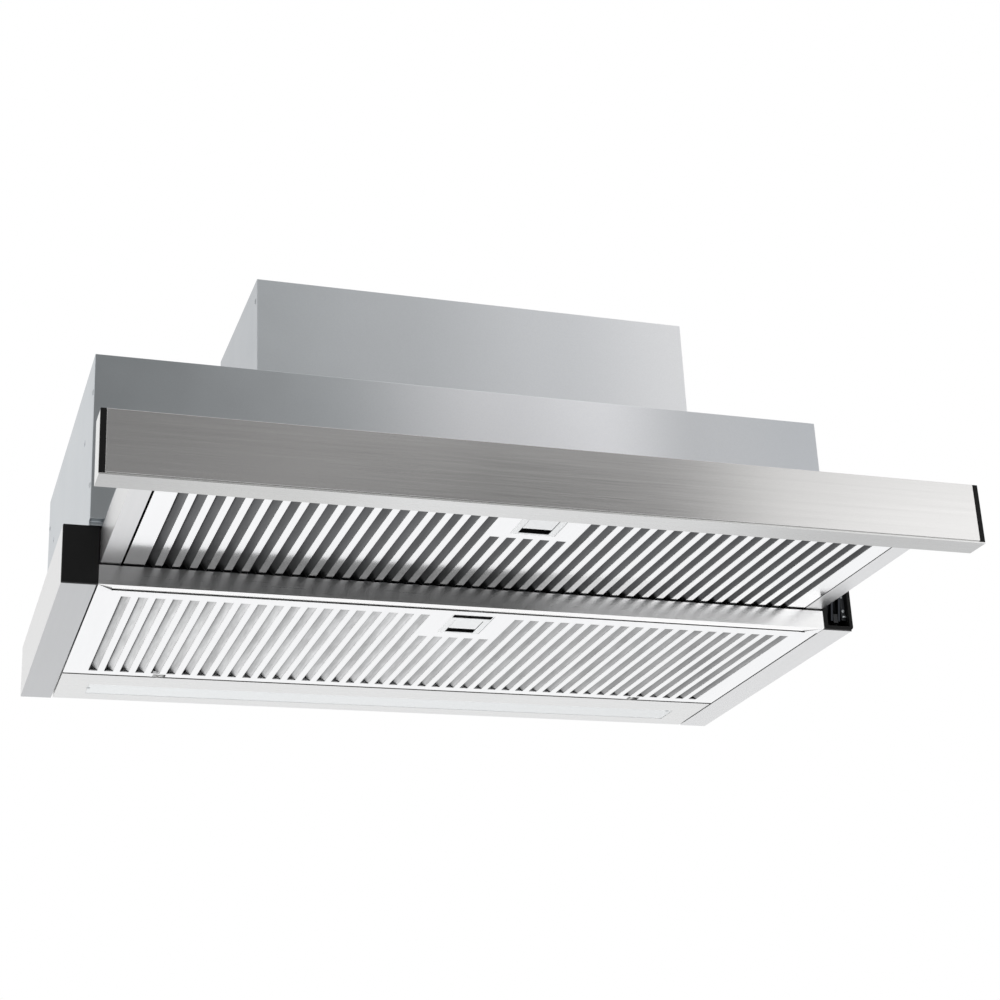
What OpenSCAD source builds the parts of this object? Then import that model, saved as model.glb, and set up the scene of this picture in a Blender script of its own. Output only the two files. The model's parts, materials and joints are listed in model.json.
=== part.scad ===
/* [Lower body] */
// Overall width of the lower body and of the front panel
hood_w = 598; // [590:1:620]
// Depth of the lower body, from the front beam to the back
lower_depth = 282; // [278:1:300]
// Height of the lower body
lower_h = 42; // [42:0.5:44]
// Width of the flange under each side profile
profile_w = 24; // [22:0.5:26]
// Height of the upstand on the profile's inner edge
profile_lip_h = 8; // [4:0.5:10]
// How far the black end pieces reach past the profiles towards the middle
cap_over = 1; // [0.5:0.1:2]
// Thickness of the end pieces' front flange
cap_flange_t = 3; // [2:0.5:4]
// Length of the end pieces' plug inside the profile
cap_plug_l = 15; // [14:0.5:18]
// Wall of the plastic end pieces
cap_wall = 1.5; // [1:0.1:2]
// Height of the front beam
beam_h = 14; // [12:0.5:14.5]
// Depth of the front beam's lower flange
beam_flange = 12; // [10:0.5:14]
// Rise of the beam's lower flange from front to back
beam_rise = 1.2; // [0.6:0.1:1.4]
// Thickness of the stainless and galvanised sheets
sheet_t = 1; // [0.8:0.1:1.2]

/* [Upper body] */
// Setback of the upper body's sides from the hood's ends
body_in = 17; // [16.5:0.5:21]
// How far the upper body's front stands before the beam
body_lead = 6; // [3:0.5:8]
// Height of the upper body's top above the underside
body_top = 169.4; // [165:0.2:180]
// Length of the folded joining flanges of the sheets
sheet_flange = 14; // [8:1:18]
// Length of the upper body's foot flange
foot_flange = 6; // [4:0.5:7]

/* [Motor box] */
// Width of the motor box
box_w = 354; // [340:1:370]
// Shift of the motor box's middle to the right of the body's
box_shift = 22; // [0:1:30]
// Distance of the motor box's front behind the beam
box_front = 50; // [46:1:54]
// Depth of the motor box
box_depth = 150; // [148:1:160]
// Height of the motor box's top above the underside
box_top_z = 274; // [268:1:290]

/* [Drawer] */
// Distance that the drawer stands open
drawer_travel = 170; // [160:1:172]
// Thickness of the front panel, front to back
panel_t = 20; // [18:0.5:22]
// Height of the front panel
panel_h = 43; // [42:0.5:46]
// Height of the panel's lower edge above the underside
panel_z = 1; // [0.5:0.1:1.5]
// Width of the black strip at each end of the panel
strip_w = 3.6; // [2:0.2:5]
// Gap between the panel's face and its lower lip
lip_gap = 0.8; // [0.4:0.1:1.2]
// Height of the drawer's side walls
rail_h = 25; // [24:0.5:25.5]
// Width of the drawer's side rails, seen from below
rail_w = 14.2; // [12:0.1:16]
// Length of the rails behind the front beam
rail_tail = 95; // [85:1:100]
// Length of each runner on the drawer's side
runner_l = 70; // [40:1:74]
// Gap between the drawer and the end pieces beside it
drawer_gap = 0.5; // [0.3:0.1:0.8]
// Gap between the drawer and the front beam under it
beam_gap = 1; // [0.6:0.1:1.4]

/* [Filters] */
// Distance between two slots of a filter
slot_pitch = 12; // [10:0.5:16]
// Width of a filter slot
slot_w = 6.8; // [4:0.2:7.4]
// Thickness of the filters' steel sheet
filter_t = 0.8; // [0.6:0.1:1]
// Height of a filter's rim
filter_h = 9; // [8.6:0.1:9.4]
// Depth of the slanted louvre behind each slot
louvre_h = 5.2; // [4:0.2:5.4]
// Thickness of the mesh pad in each filter
mesh_t = 1.2; // [0.8:0.1:1.4]
// Gap round a filter
filter_gap = 1.4; // [0.8:0.1:1.8]
// Depth of the drawer's filter
drawer_filter_l = 178; // [172:1:184]

/* [Filter latch] */
// Width of a filter latch's housing
latch_w = 32; // [28:1:40]
// Length of a filter latch's housing
latch_l = 42; // [38:1:44]
// Distance that a latch slides back
latch_travel = 3; // [2.8:0.1:3.4]
// Width of the latch's thumb plate
thumb_w = 21; // [18:0.5:24]

/* [Light] */
// Depth of the light panel behind the fixed filter
light_depth = 67.5; // [62:0.5:72]
// Distance from each end of the light's housing to its diffuser
diffuser_in = 23.8; // [20:0.2:50]
// Width of the light's diffuser
diffuser_w = 26; // [20:1:30]
// Number of light chips on the board
led_count = 14; // [8:1:24]

/* [Blower] */
// Radius of the fan wheel
wheel_r = 56; // [52:0.5:56.5]
// Number of blades on the fan wheel
blade_count = 24; // [16:1:36]
// Half of the scroll housing's width
scroll_half = 57; // [54:0.5:60]
// Radius of the motor
motor_r = 40; // [34:1:42]
// Radius of the motor shaft
shaft_r = 3; // [2.5:0.1:4]
// Outer radius of the outlet collar
collar_r = 60; // [57:0.5:60.5]
// Height of the outlet collar's top above the motor box
collar_h = 13; // [12:0.5:16]

/* [Fastening] */
// Diameter of the cupboard screw holes in the upper body's sides
fix_hole_d = 5; // [4:0.1:6]
// Distance between the two cupboard screw holes of one side
fix_spacing = 200; // [160:1:220]
// Height of the cupboard screw holes above the underside
fix_z = 120; // [80:1:130]

/* [Hidden] */
$fn = 48;
eps = 0.01;
past = 1;
t = sheet_t;
half_w = hood_w / 2;
closed_gap = 1;
open_reach = drawer_travel + panel_t + closed_gap;
// the origin is the middle of the open hood's underside
front_y = (open_reach - lower_depth) / 2;

inner_x = half_w - profile_w;
cap_x = inner_x - cap_over;
drawer_x = cap_x - drawer_gap;
drawer_z = beam_h + beam_gap;
cover_z = drawer_z + rail_h;
panel_y = -open_reach;
panel_back = panel_y + panel_t;
panel_top = panel_z + panel_h;

body_x = half_w - body_in;
body_front = -body_lead;
body_foot = panel_top + 1;

box_l = box_shift - box_w / 2;
box_r = box_shift + box_w / 2;
box_back_y = box_front + box_depth;

// fixed filter, and the hinge at its back edge
fixed_x = inner_x - 1.2;
fixed_y0 = beam_flange + 1.5;
light_y0 = lower_depth - light_depth;
fixed_y1 = light_y0 - 3;
fixed_z = 0.5;
hinge_y = fixed_y1 - 2.5;
hinge_z = fixed_z + 4;
hinge_in = 73.8;
hinge_x = fixed_x - hinge_in;
hinge_pin_r = 1.5;
hinge_fit = 0.05;
ear_t = 2;
ear_r = 2.6;
tab_t = 2;
notch_w = 10;

// drawer filter
filter_x = drawer_x - rail_w - filter_gap;
front_rail_d = 6;
filter_y0 = panel_back + front_rail_d + 1;
filter_y1 = filter_y0 + drawer_filter_l;
rear_rail_d = 10;
rear_rail_h = 8;
rear_rail_y = filter_y1 + 1.5;

// ---- shared shapes: y is counted back from the front beam ----

module box_at(x0, x1, y0, y1, z0, z1) {
    translate([x0, front_y + y0, z0])
        cube([x1 - x0, y1 - y0, z1 - z0]);
}

module prism_y(points, y0, y1) {
    translate([0, front_y + y1, 0])
        rotate([90, 0, 0])
            linear_extrude(y1 - y0)
                polygon(points);
}

module prism_x(points, x0, x1) {
    translate([x0, front_y, 0])
        rotate([90, 0, 90])
            linear_extrude(x1 - x0)
                polygon(points);
}

module prism_z(points, z0, z1) {
    translate([0, front_y, z0])
        linear_extrude(z1 - z0)
            polygon(points);
}

module rod_x(x0, x1, y, z, r) {
    translate([x0, front_y + y, z])
        rotate([0, 90, 0])
            cylinder(r = r, h = x1 - x0);
}

module rod_y(x, y0, y1, z, r) {
    translate([x, front_y + y1, z])
        rotate([90, 0, 0])
            cylinder(r = r, h = y1 - y0);
}

module rod_z(x, y, z0, z1, r) {
    translate([x, front_y + y, z0])
        cylinder(r = r, h = z1 - z0);
}

// ---- lower body ----

module side_profile() {
    prism_y([
        [-half_w, 0],
        [-inner_x, 0],
        [-inner_x, profile_lip_h],
        [-inner_x - t, profile_lip_h],
        [-inner_x - t, t],
        [-half_w + t, t],
        [-half_w + t, lower_h - t],
        [-inner_x, lower_h - t],
        [-inner_x, lower_h],
        [-half_w, lower_h]
    ], cap_flange_t, lower_depth);
}

module side_profile_left() {
    color("#d9dcdf") side_profile();
}

module side_profile_right() {
    color("#d9dcdf") mirror([1, 0, 0]) side_profile();
}

plug_gap = 0.3;
plug_x0 = half_w - t - plug_gap;
plug_x1 = inner_x + t + plug_gap;
plug_z0 = t + plug_gap;
plug_z1 = lower_h - t - plug_gap;
plug_y1 = cap_flange_t + cap_plug_l;
recess_d = plug_y1 - cap_wall - 0.5;
frame_corner_r = 3;

module end_cap_left() {
    color("#141414") {
        box_at(-half_w, -cap_x, 0, cap_flange_t, 0, lower_h);
        difference() {
            box_at(-plug_x0, -plug_x1, cap_flange_t - eps, plug_y1, plug_z0, plug_z1);
            box_at(-plug_x0 + cap_wall, -plug_x1 - cap_wall, cap_flange_t, plug_y1 + past,
                plug_z0 + cap_wall, plug_z1 - cap_wall);
        }
    }
}

module end_frame_right() {
    color("#161616")
        difference() {
            union() {
                box_at(cap_x, half_w, 0, cap_flange_t, 0, lower_h);
                box_at(plug_x1, plug_x0, cap_flange_t - eps, plug_y1, plug_z0, plug_z1);
            }
            box_at(plug_x1 + cap_wall, plug_x0 - cap_wall, -past, recess_d,
                plug_z0 + cap_wall, plug_z1 - cap_wall);
            // round lower outer corner
            difference() {
                box_at(half_w - frame_corner_r, half_w + past, -past, cap_flange_t - eps,
                    -past, frame_corner_r);
                rod_y(half_w - frame_corner_r, -past * 2, cap_flange_t + past, frame_corner_r,
                    frame_corner_r);
            }
        }
}

beam_hem = 8;

// the flange's mitred corner at one end, seen from above
function beam_corner(side, inset, over) = [
    [side * (cap_x + over), inset],
    [side * (cap_x + over), beam_flange + over],
    [side * (cap_x - beam_flange - over), beam_flange + over],
    [side * (cap_x - inset), inset]
];

module front_beam() {
    color("#b9bcc0") {
        difference() {
            prism_x([
                [0, 0],
                [beam_flange, beam_rise],
                [beam_flange, beam_rise + t],
                [t, t + beam_rise / beam_flange * t],
                [t, beam_h - t],
                [beam_hem, beam_h - t],
                [beam_hem, beam_h],
                [0, beam_h]
            ], -cap_x, cap_x);
            for (side = [-1, 1])
                prism_z(beam_corner(side, t, past), -past, beam_rise + t + eps);
        }
        // flat corners beside the mitres
        for (side = [-1, 1])
            prism_z(beam_corner(side, eps, 0), 0, t);
    }
}

// ---- filters ----

slot_margin = 16;
slot_in = 11;
slot_back_in = 8.5;
latch_in = 7;
latch_zone = latch_in + latch_l + slot_in;
drawer_slot_in = 24;
drawer_slot_back_in = 10;
drawer_latch_in = 12;
drawer_latch_zone = drawer_latch_in + latch_l + 8;
filter_lip = 5;
louvre_t = 0.6;
louvre_lap = 1.6;
louvre_root = 0.4;
louvre_foot = 1.3;

// an odd number of slots, with one on the middle
function slot_count(x) = 2 * floor((x - slot_margin) / slot_pitch) + 1;
function slot_left(i, count) = (i - (count - 1) / 2) * slot_pitch - slot_w / 2;
function under_latch(i, count) = abs(i - (count - 1) / 2) * slot_pitch < latch_w / 2 + slot_w / 2 + 8;
function slot_start(i, count, y0, latch_y0) = under_latch(i, count) ? latch_y0 : y0;

module filter_slots(count, y0, y1, latch_y0, z) {
    for (i = [0:count - 1])
        let (x = slot_left(i, count))
            box_at(x, x + slot_w, slot_start(i, count, y0, latch_y0), y1, z - past, z + filter_t + 0.5);
}

module filter_louvres(count, y0, y1, latch_y0, z) {
    for (i = [0:count - 1])
        let (
            x = slot_left(i, count),
            root = x + slot_w + louvre_root,
            tip = x - louvre_lap,
            top = z + filter_t + louvre_h
        )
            prism_y([
                [root, z + 0.1],
                [root, z + filter_t - 0.1],
                [tip, top],
                [tip, top - louvre_t]
            ], slot_start(i, count, y0, latch_y0), y1 - louvre_foot);
}

bolt_w = 12;
bolt_t = 3;
bolt_z = 2;
bolt_reach = 2.6;
bolt_gap = 0.4;
latch_gap = 0.15;

// a folded sheet with slots, louvres, a rim and an inward lip that holds the pad
module filter_face(x, y0, y1, z, slot_y0, slot_y1, latch_y, latch_y0) {
    count = slot_count(x);
    top = z + filter_h;
    difference() {
        union() {
            difference() {
                box_at(-x, x, y0, y1, z, top);
                box_at(-x + filter_t, x - filter_t, y0 + filter_t, y1 - filter_t,
                    z + filter_t, top - filter_t);
                box_at(-x + filter_lip, x - filter_lip, y0 + filter_lip, y1 - filter_lip,
                    z + filter_t, top + past);
                filter_slots(count, slot_y0, slot_y1, latch_y0, z);
            }
            filter_louvres(count, slot_y0, slot_y1, latch_y0, z);
        }
        // seat of the latch, and the way for its bolt
        box_at(-latch_w / 2, latch_w / 2, latch_y, latch_y + latch_l, z - past, top + past);
        box_at(-bolt_w / 2 - bolt_gap, bolt_w / 2 + bolt_gap, y0 - past, latch_y + past,
            z + bolt_z - bolt_gap, z + bolt_z + bolt_t + bolt_gap);
    }
}

mesh_gap = 0.4;

module filter_mesh(x, y0, y1, z, latch_y) {
    top = z + filter_h - filter_t;
    edge = filter_t + mesh_gap;
    difference() {
        box_at(-x + edge, x - edge, y0 + edge, y1 - edge, top - mesh_t, top);
        box_at(-latch_w / 2 - past, latch_w / 2 + past, y0, latch_y + latch_l + past,
            top - mesh_t - past, top + past);
    }
}

module fixed_filter_face() {
    color("#cfd1d3") {
        difference() {
            union() {
                filter_face(fixed_x, fixed_y0, fixed_y1, fixed_z, fixed_y0 + slot_in,
                    fixed_y1 - slot_back_in, fixed_y0 + latch_in, fixed_y0 + latch_zone);
                // tabs that hold the hinge pins
                for (side = [-1, 1], tab = [-1, 1])
                    let (x = side * hinge_x + tab * (notch_w + tab_t) / 2)
                        box_at(x - tab_t / 2, x + tab_t / 2, hinge_y - ear_r, fixed_y1 - eps,
                            fixed_z + eps, hinge_z + ear_r);
            }
            for (side = [-1, 1])
                let (x = side * hinge_x)
                    box_at(x - notch_w / 2, x + notch_w / 2, hinge_y - ear_r - past, fixed_y1 + past,
                        fixed_z - past, fixed_z + filter_h + past);
        }
        for (side = [-1, 1])
            let (x = side * hinge_x)
                rod_x(x - notch_w / 2 - tab_t, x + notch_w / 2 + tab_t, hinge_y, hinge_z, hinge_pin_r);
    }
}

module fixed_filter_mesh() {
    color("#8f9396")
        difference() {
            filter_mesh(fixed_x, fixed_y0, fixed_y1, fixed_z, fixed_y0 + latch_in);
            for (side = [-1, 1])
                let (x = side * hinge_x)
                    box_at(x - notch_w, x + notch_w, hinge_y - ear_r - past * 2, fixed_y1 + past,
                        fixed_z, fixed_z + filter_h + past);
        }
}

// ---- filter latch: housing, sliding thumb plate with its bolt, leaf spring ----

latch_h = 7;
latch_wall = 2;
latch_roof = 1;
thumb_gap = 0.4;
thumb_y = 13;
thumb_slot = latch_travel + 5;
thumb_l = latch_l - thumb_y - latch_wall - latch_gap - thumb_slot;
thumb_t = 1.4;
thumb_in = 0.3;
thumb_block = 8;
groove_y = 0.9;
groove_l = 6.5;
groove_d = 1.5;

module latch_housing(z, latch_y) {
    x = latch_w / 2 - latch_gap;
    y0 = latch_y + latch_gap;
    y1 = latch_y + latch_l - latch_gap;
    difference() {
        box_at(-x, x, y0, y1, z, z + latch_h);
        // well for the thumb plate and its spring
        box_at(-thumb_w / 2 - thumb_gap, thumb_w / 2 + thumb_gap, latch_y + thumb_y - thumb_gap,
            y1 - latch_wall, z - past, z + latch_h - latch_roof);
        // way for the bolt
        box_at(-bolt_w / 2 - bolt_gap, bolt_w / 2 + bolt_gap, y0 - past, latch_y + thumb_y,
            z + bolt_z - bolt_gap, z + bolt_z + bolt_t + bolt_gap);
        // long groove in front of the thumb plate
        box_at(-x + 1, x - 1, latch_y + groove_y, latch_y + groove_y + groove_l,
            z - past, z + groove_d);
    }
}

module latch_slider(z, latch_y, front) {
    plate_y = latch_y + thumb_y;
    block_y = plate_y + thumb_block;
    box_at(-thumb_w / 2, thumb_w / 2, plate_y, plate_y + thumb_l, z + thumb_in, z + thumb_in + thumb_t);
    box_at(-bolt_w / 2, bolt_w / 2, front - bolt_reach, block_y, z + bolt_z, z + bolt_z + bolt_t);
    box_at(-bolt_w / 2, bolt_w / 2, plate_y, block_y, z + thumb_in + eps, z + bolt_z + eps);
}

spring_h = 3;
leaf_t = 0.5;

// a leaf bent to a chevron between the thumb plate's block and the back of the well
module latch_spring(z, latch_y) {
    y0 = latch_y + thumb_y + thumb_block;
    y1 = latch_y + latch_l - latch_gap - latch_wall;
    reach = thumb_w / 2 - 1;
    lean = leaf_t * sqrt(1 + pow((y1 - y0) / reach, 2));
    translate([0, 0, z + thumb_in + thumb_t + 0.3])
        prism_z([
            [0, y0],
            [reach, y1],
            [reach - leaf_t * 1.2, y1],
            [0, y0 + lean],
            [-reach + leaf_t * 1.2, y1],
            [-reach, y1]
        ], 0, spring_h);
}

module fixed_latch_housing() {
    color("#c9ccce") latch_housing(fixed_z, fixed_y0 + latch_in);
}

module fixed_latch_slider() {
    color("#e4e6e8") latch_slider(fixed_z, fixed_y0 + latch_in, fixed_y0);
}

module fixed_latch_spring() {
    color("#7f8285") latch_spring(fixed_z, fixed_y0 + latch_in);
}

// ---- rear light ----

light_h = 12;
diffuser_back = 38.5;
diffuser_y = light_y0 + diffuser_back;
diffuser_l = 2 * (fixed_x - diffuser_in);
diffuser_gap = 0.1;
diffuser_rim = 2.5;
led_z = 6;
led_w = 3;
led_h = 0.9;
board_t = 1.2;
board_over = 14;
board_half = 6;
post_r = 2.5;
post_in = 4;

module light_housing() {
    x = fixed_x;
    color("#d3d5d7") {
        difference() {
            box_at(-x, x, light_y0, lower_depth, fixed_z, light_h);
            box_at(-x + t, x - t, light_y0 + t, lower_depth - t, fixed_z + t, light_h + past);
            box_at(-diffuser_l / 2, diffuser_l / 2, diffuser_y - diffuser_w / 2,
                diffuser_y + diffuser_w / 2, fixed_z - past, fixed_z + t + past);
        }
        // back wall up to the upper body
        box_at(-x, x, lower_depth - t, lower_depth, light_h - eps, lower_h);
        // seats of the circuit board
        for (side = [-1, 1])
            rod_z(side * (diffuser_l / 2 + board_over - post_in), diffuser_y, fixed_z + t - eps, led_z,
                post_r);
        // ears of the filter's hinge
        for (side = [-1, 1])
            hinge_ear(side * hinge_x);
    }
}

module hinge_ear(x) {
    difference() {
        union() {
            box_at(x - ear_t / 2, x + ear_t / 2, hinge_y, light_y0 + eps, hinge_z - ear_r, hinge_z + ear_r);
            rod_x(x - ear_t / 2, x + ear_t / 2, hinge_y, hinge_z, ear_r);
        }
        rod_x(x - ear_t, x + ear_t, hinge_y, hinge_z, hinge_pin_r + hinge_fit);
    }
}

module light_diffuser() {
    x = diffuser_l / 2 - diffuser_gap;
    w = diffuser_w / 2 - diffuser_gap;
    color("#f4f6f4") {
        box_at(-x, x, diffuser_y - w, diffuser_y + w, fixed_z + 0.2, fixed_z + t + eps);
        box_at(-x - diffuser_rim, x + diffuser_rim, diffuser_y - w - diffuser_rim,
            diffuser_y + w + diffuser_rim, fixed_z + t, fixed_z + 2 * t);
    }
}

module led_board() {
    x = diffuser_l / 2 + board_over;
    pitch = diffuser_l / led_count;
    color("#eef0e6") {
        box_at(-x, x, diffuser_y - board_half, diffuser_y + board_half, led_z, led_z + board_t);
        for (i = [0:led_count - 1])
            let (chip_x = (i - (led_count - 1) / 2) * pitch)
                box_at(chip_x - led_w / 2, chip_x + led_w / 2, diffuser_y - led_w / 2,
                    diffuser_y + led_w / 2, led_z - led_h, led_z + eps);
    }
}

// ---- upper body ----

fix_y = lower_depth / 2;
wire_hole_r = 8;

foot_gap = 0.2;

module upper_front_sheet() {
    color("#a7adb4") {
        box_at(-body_x, body_x, body_front, body_front + t, body_foot, body_top);
        // foot fold, back over the closed panel and down behind it
        box_at(-body_x + t + foot_gap, body_x - t - foot_gap, body_front + t - eps, t,
            body_foot, body_foot + t);
        box_at(-body_x + t + foot_gap, body_x - t - foot_gap, 0, t,
            lower_h + foot_gap, body_foot + eps);
        for (side = [-1, 1])
            let (x = side * (body_x - 1.5 * t))
                box_at(x - t / 2, x + t / 2, body_front + t - eps, body_front + sheet_flange,
                    body_foot, body_top - t);
    }
}

module side_wall() {
    difference() {
        union() {
            box_at(-body_x, -body_x + t, body_front + t, lower_depth, lower_h, body_top);
            box_at(-body_x + t - eps, -body_x + t + foot_flange, cap_flange_t, lower_depth - t - 0.1,
                lower_h, lower_h + t);
        }
        for (end = [-1, 1])
            rod_x(-body_x - past, -body_x + t + past, fix_y + end * fix_spacing / 2, fix_z, fix_hole_d / 2);
        // clears the front panel
        box_at(-body_x - past, -body_x + t + past, body_front, 0, lower_h - past, body_foot);
    }
}

module side_wall_left() {
    color("#c3c8ce") side_wall();
}

module side_wall_right() {
    color("#c3c8ce") mirror([1, 0, 0]) side_wall();
}

module back_wall() {
    color("#b3b8be") {
        box_at(-body_x + t, body_x - t, lower_depth - t, lower_depth, lower_h, body_top - t);
        for (side = [-1, 1])
            let (x = side * (body_x - 1.5 * t))
                box_at(x - t / 2, x + t / 2, lower_depth - sheet_flange, lower_depth - t + eps,
                    lower_h + 2 * t, body_top - t);
    }
}

module upper_top_plate() {
    color("#aab0b6")
        difference() {
            box_at(-body_x + t, body_x - t, body_front + t, lower_depth, body_top - t, body_top);
            box_at(box_l + t, box_r - t, box_front + t, box_back_y - t, body_top - t - past, body_top + past);
            rod_z(terminal_x, terminal_y, body_top - t - past, body_top + past, wire_hole_r);
        }
}

// ---- motor box ----

module box_flange(x, y0, y1) {
    box_at(x - t / 2, x + t / 2, y0, y1, body_top, box_top_z - t);
}

module box_front_sheet() {
    color("#a4abb3") {
        box_at(box_l, box_r, box_front, box_front + t, body_top, box_top_z);
        for (x = [box_l + 1.5 * t, box_r - 1.5 * t])
            box_flange(x, box_front + t - eps, box_front + sheet_flange);
    }
}

module box_side(x0) {
    box_at(x0, x0 + t, box_front + t, box_back_y, body_top, box_top_z);
}

module box_side_left() {
    color("#c0c6cc") box_side(box_l);
}

module box_side_right() {
    color("#c0c6cc") box_side(box_r - t);
}

module box_back_sheet() {
    color("#a9afb5") {
        box_at(box_l + t, box_r - t, box_back_y - t, box_back_y, body_top, box_top_z - t);
        for (x = [box_l + 1.5 * t, box_r - 1.5 * t])
            box_flange(x, box_back_y - sheet_flange, box_back_y - t + eps);
    }
}

module box_top_plate() {
    color("#a9afb5")
        difference() {
            box_at(box_l + t, box_r - t, box_front + t, box_back_y, box_top_z - t, box_top_z);
            rod_z(axis_x, collar_y, box_top_z - t - past, box_top_z + past, collar_r - collar_wall);
            for (a = [45:90:315])
                collar_hole(a, box_top_z - t);
        }
}

// ---- drawer tracks and runners ----

track_x = half_w - t;
track_in = inner_x + 1.5;
track_z = drawer_z + 2;
track_h = 20;
track_y0 = plug_y1 + 1;
track_y1 = lower_depth - 6;
runner_gap = 0.3;
runner_web = 5;
neck_in = 3;

module track() {
    prism_y([
        [-track_x, track_z],
        [-track_in, track_z],
        [-track_in, track_z + t],
        [-track_x + t, track_z + t],
        [-track_x + t, track_z + track_h - t],
        [-track_in, track_z + track_h - t],
        [-track_in, track_z + track_h],
        [-track_x, track_z + track_h]
    ], track_y0, track_y1);
}

module track_left() {
    color("#9ea2a6") track();
}

module track_right() {
    color("#9ea2a6") mirror([1, 0, 0]) track();
}

module runner() {
    y1 = rail_tail;
    y0 = y1 - runner_l;
    x0 = track_x - t - runner_gap;
    z0 = track_z + t + runner_gap;
    z1 = track_z + track_h - t - runner_gap;
    difference() {
        union() {
            box_at(-x0, -track_in + 1, y0, y1, z0, z1);
            box_at(-track_in, -drawer_x, y0, y1, z0 + neck_in, z1 - neck_in);
        }
        box_at(-x0 + runner_web, -track_in - runner_web / 2, y0 + runner_web, y1 - runner_web,
            z0 - past, z1 + past);
    }
}

module runner_left() {
    color("#e3e3df") runner();
}

module runner_right() {
    color("#e3e3df") mirror([1, 0, 0]) runner();
}

// ---- drawer ----

strip_t = 2;
face_t = 1;
carrier_y = panel_y + face_t;
carrier_top = panel_top - 0.5;
hem_h = 5;
button_r = 4;
button_pitch = 16;
button_in = 149;
button_x = half_w - button_in;
button_y = panel_y + panel_t / 2;
button_fit = 0.3;

module panel_face() {
    x = half_w - strip_w - 0.2;
    color("#9b9b9b")
        box_at(-x, x, panel_y, panel_y + face_t, panel_z + t + lip_gap, panel_top);
}

module panel_carrier() {
    color("#d4d4d3")
        difference() {
            union() {
                prism_x([
                    [panel_y, panel_z],
                    [panel_back, panel_z],
                    [panel_back, panel_z + hem_h],
                    [panel_back - t, panel_z + hem_h],
                    [panel_back - t, panel_z + t],
                    [carrier_y + t, panel_z + t],
                    [carrier_y + t, carrier_top - t],
                    [panel_back - t, carrier_top - t],
                    [panel_back - t, carrier_top - hem_h],
                    [panel_back, carrier_top - hem_h],
                    [panel_back, carrier_top],
                    [carrier_y, carrier_top],
                    [carrier_y, panel_z + t],
                    [panel_y, panel_z + t]
                ], -half_w, half_w);
                for (side = [-1, 1])
                    let (x = side * (half_w - t / 2))
                        box_at(x - t / 2, x + t / 2, panel_y + strip_t, panel_back, panel_z, carrier_top);
            }
            // seats of the end strips
            for (side = [-1, 1])
                let (x = side * (half_w - strip_w / 2))
                    box_at(x - strip_w / 2 - eps, x + strip_w / 2 + eps, panel_y - past,
                        panel_y + strip_t, panel_z + t, panel_top + past);
            for (i = [0:3])
                rod_z(button_x + i * button_pitch, button_y, carrier_top - t - past,
                    carrier_top + past, button_r + button_fit);
        }
}

module panel_end_strips() {
    color("#121212")
        for (side = [-1, 1])
            let (x = side * (half_w - strip_w / 2))
                box_at(x - strip_w / 2, x + strip_w / 2, panel_y, panel_y + strip_t,
                    panel_z + t, panel_top);
}

// the plate that closes the drawer's chamber above its filter
module drawer_cover() {
    color("#c4c7ca")
        box_at(-drawer_x, drawer_x, panel_back, rear_rail_y + rear_rail_d, cover_z, cover_z + t);
}

module drawer_front_rail() {
    y0 = panel_back;
    y1 = y0 + front_rail_d;
    color("#cdd0d2")
        difference() {
            prism_x([
                [y0, drawer_z],
                [y1, drawer_z],
                [y1, drawer_z + t],
                [y0 + t, drawer_z + t],
                [y0 + t, cover_z - t],
                [y1, cover_z - t],
                [y1, cover_z],
                [y0, cover_z]
            ], -drawer_x + t, drawer_x - t);
            // room for the side rails' lower flanges
            for (side = [-1, 1])
                let (x = side * (drawer_x - rail_w / 2))
                    box_at(x - rail_w / 2 - eps, x + rail_w / 2 + eps, y0 + t, y1 + past,
                        drawer_z - past, drawer_z + t + eps);
        }
}

rail_lip_h = 9;

module drawer_rail() {
    x0 = -drawer_x;
    x1 = -drawer_x + rail_w;
    prism_y([
        [x0, drawer_z],
        [x1, drawer_z],
        [x1, drawer_z + rail_lip_h],
        [x1 - t, drawer_z + rail_lip_h],
        [x1 - t, drawer_z + t],
        [x0 + t, drawer_z + t],
        [x0 + t, cover_z],
        [x0, cover_z]
    ], panel_back + t, rail_tail);
    box_at(x0, x0 + t, panel_back, panel_back + t + eps, drawer_z, cover_z);
}

module drawer_rail_left() {
    color("#d6d8da") drawer_rail();
}

module drawer_rail_right() {
    color("#d6d8da") mirror([1, 0, 0]) drawer_rail();
}

module drawer_rear_rail() {
    x = drawer_x - rail_w;
    color("#b9bcbf") {
        box_at(-x, x, rear_rail_y, rear_rail_y + t, drawer_z, drawer_z + rear_rail_h);
        box_at(-x, x, rear_rail_y, rear_rail_y + rear_rail_d, drawer_z, drawer_z + t);
    }
}

lug_w = 14;
lug_in = 78;
lug_l = 4;

module drawer_filter_face() {
    color("#cfd1d3") {
        filter_face(filter_x, filter_y0, filter_y1, drawer_z, filter_y0 + drawer_slot_in,
            filter_y1 - drawer_slot_back_in, filter_y0 + drawer_latch_in,
            filter_y0 + drawer_latch_zone);
        // lugs that rest on the drawer's rear rail
        for (side = [-1, 1])
            let (x = side * (filter_x - lug_in))
                box_at(x - lug_w / 2, x + lug_w / 2, filter_y1 - eps, filter_y1 + lug_l,
                    drawer_z + rear_rail_h, drawer_z + filter_h);
    }
}

module drawer_filter_mesh() {
    color("#8f9396")
        filter_mesh(filter_x, filter_y0, filter_y1, drawer_z, filter_y0 + drawer_latch_in);
}

module drawer_latch_housing() {
    color("#c9ccce") latch_housing(drawer_z, filter_y0 + drawer_latch_in);
}

module drawer_latch_slider() {
    color("#e4e6e8") latch_slider(drawer_z, filter_y0 + drawer_latch_in, filter_y0);
}

module drawer_latch_spring() {
    color("#7f8285") latch_spring(drawer_z, filter_y0 + drawer_latch_in);
}

// ---- buttons on the panel's top ----

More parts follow.
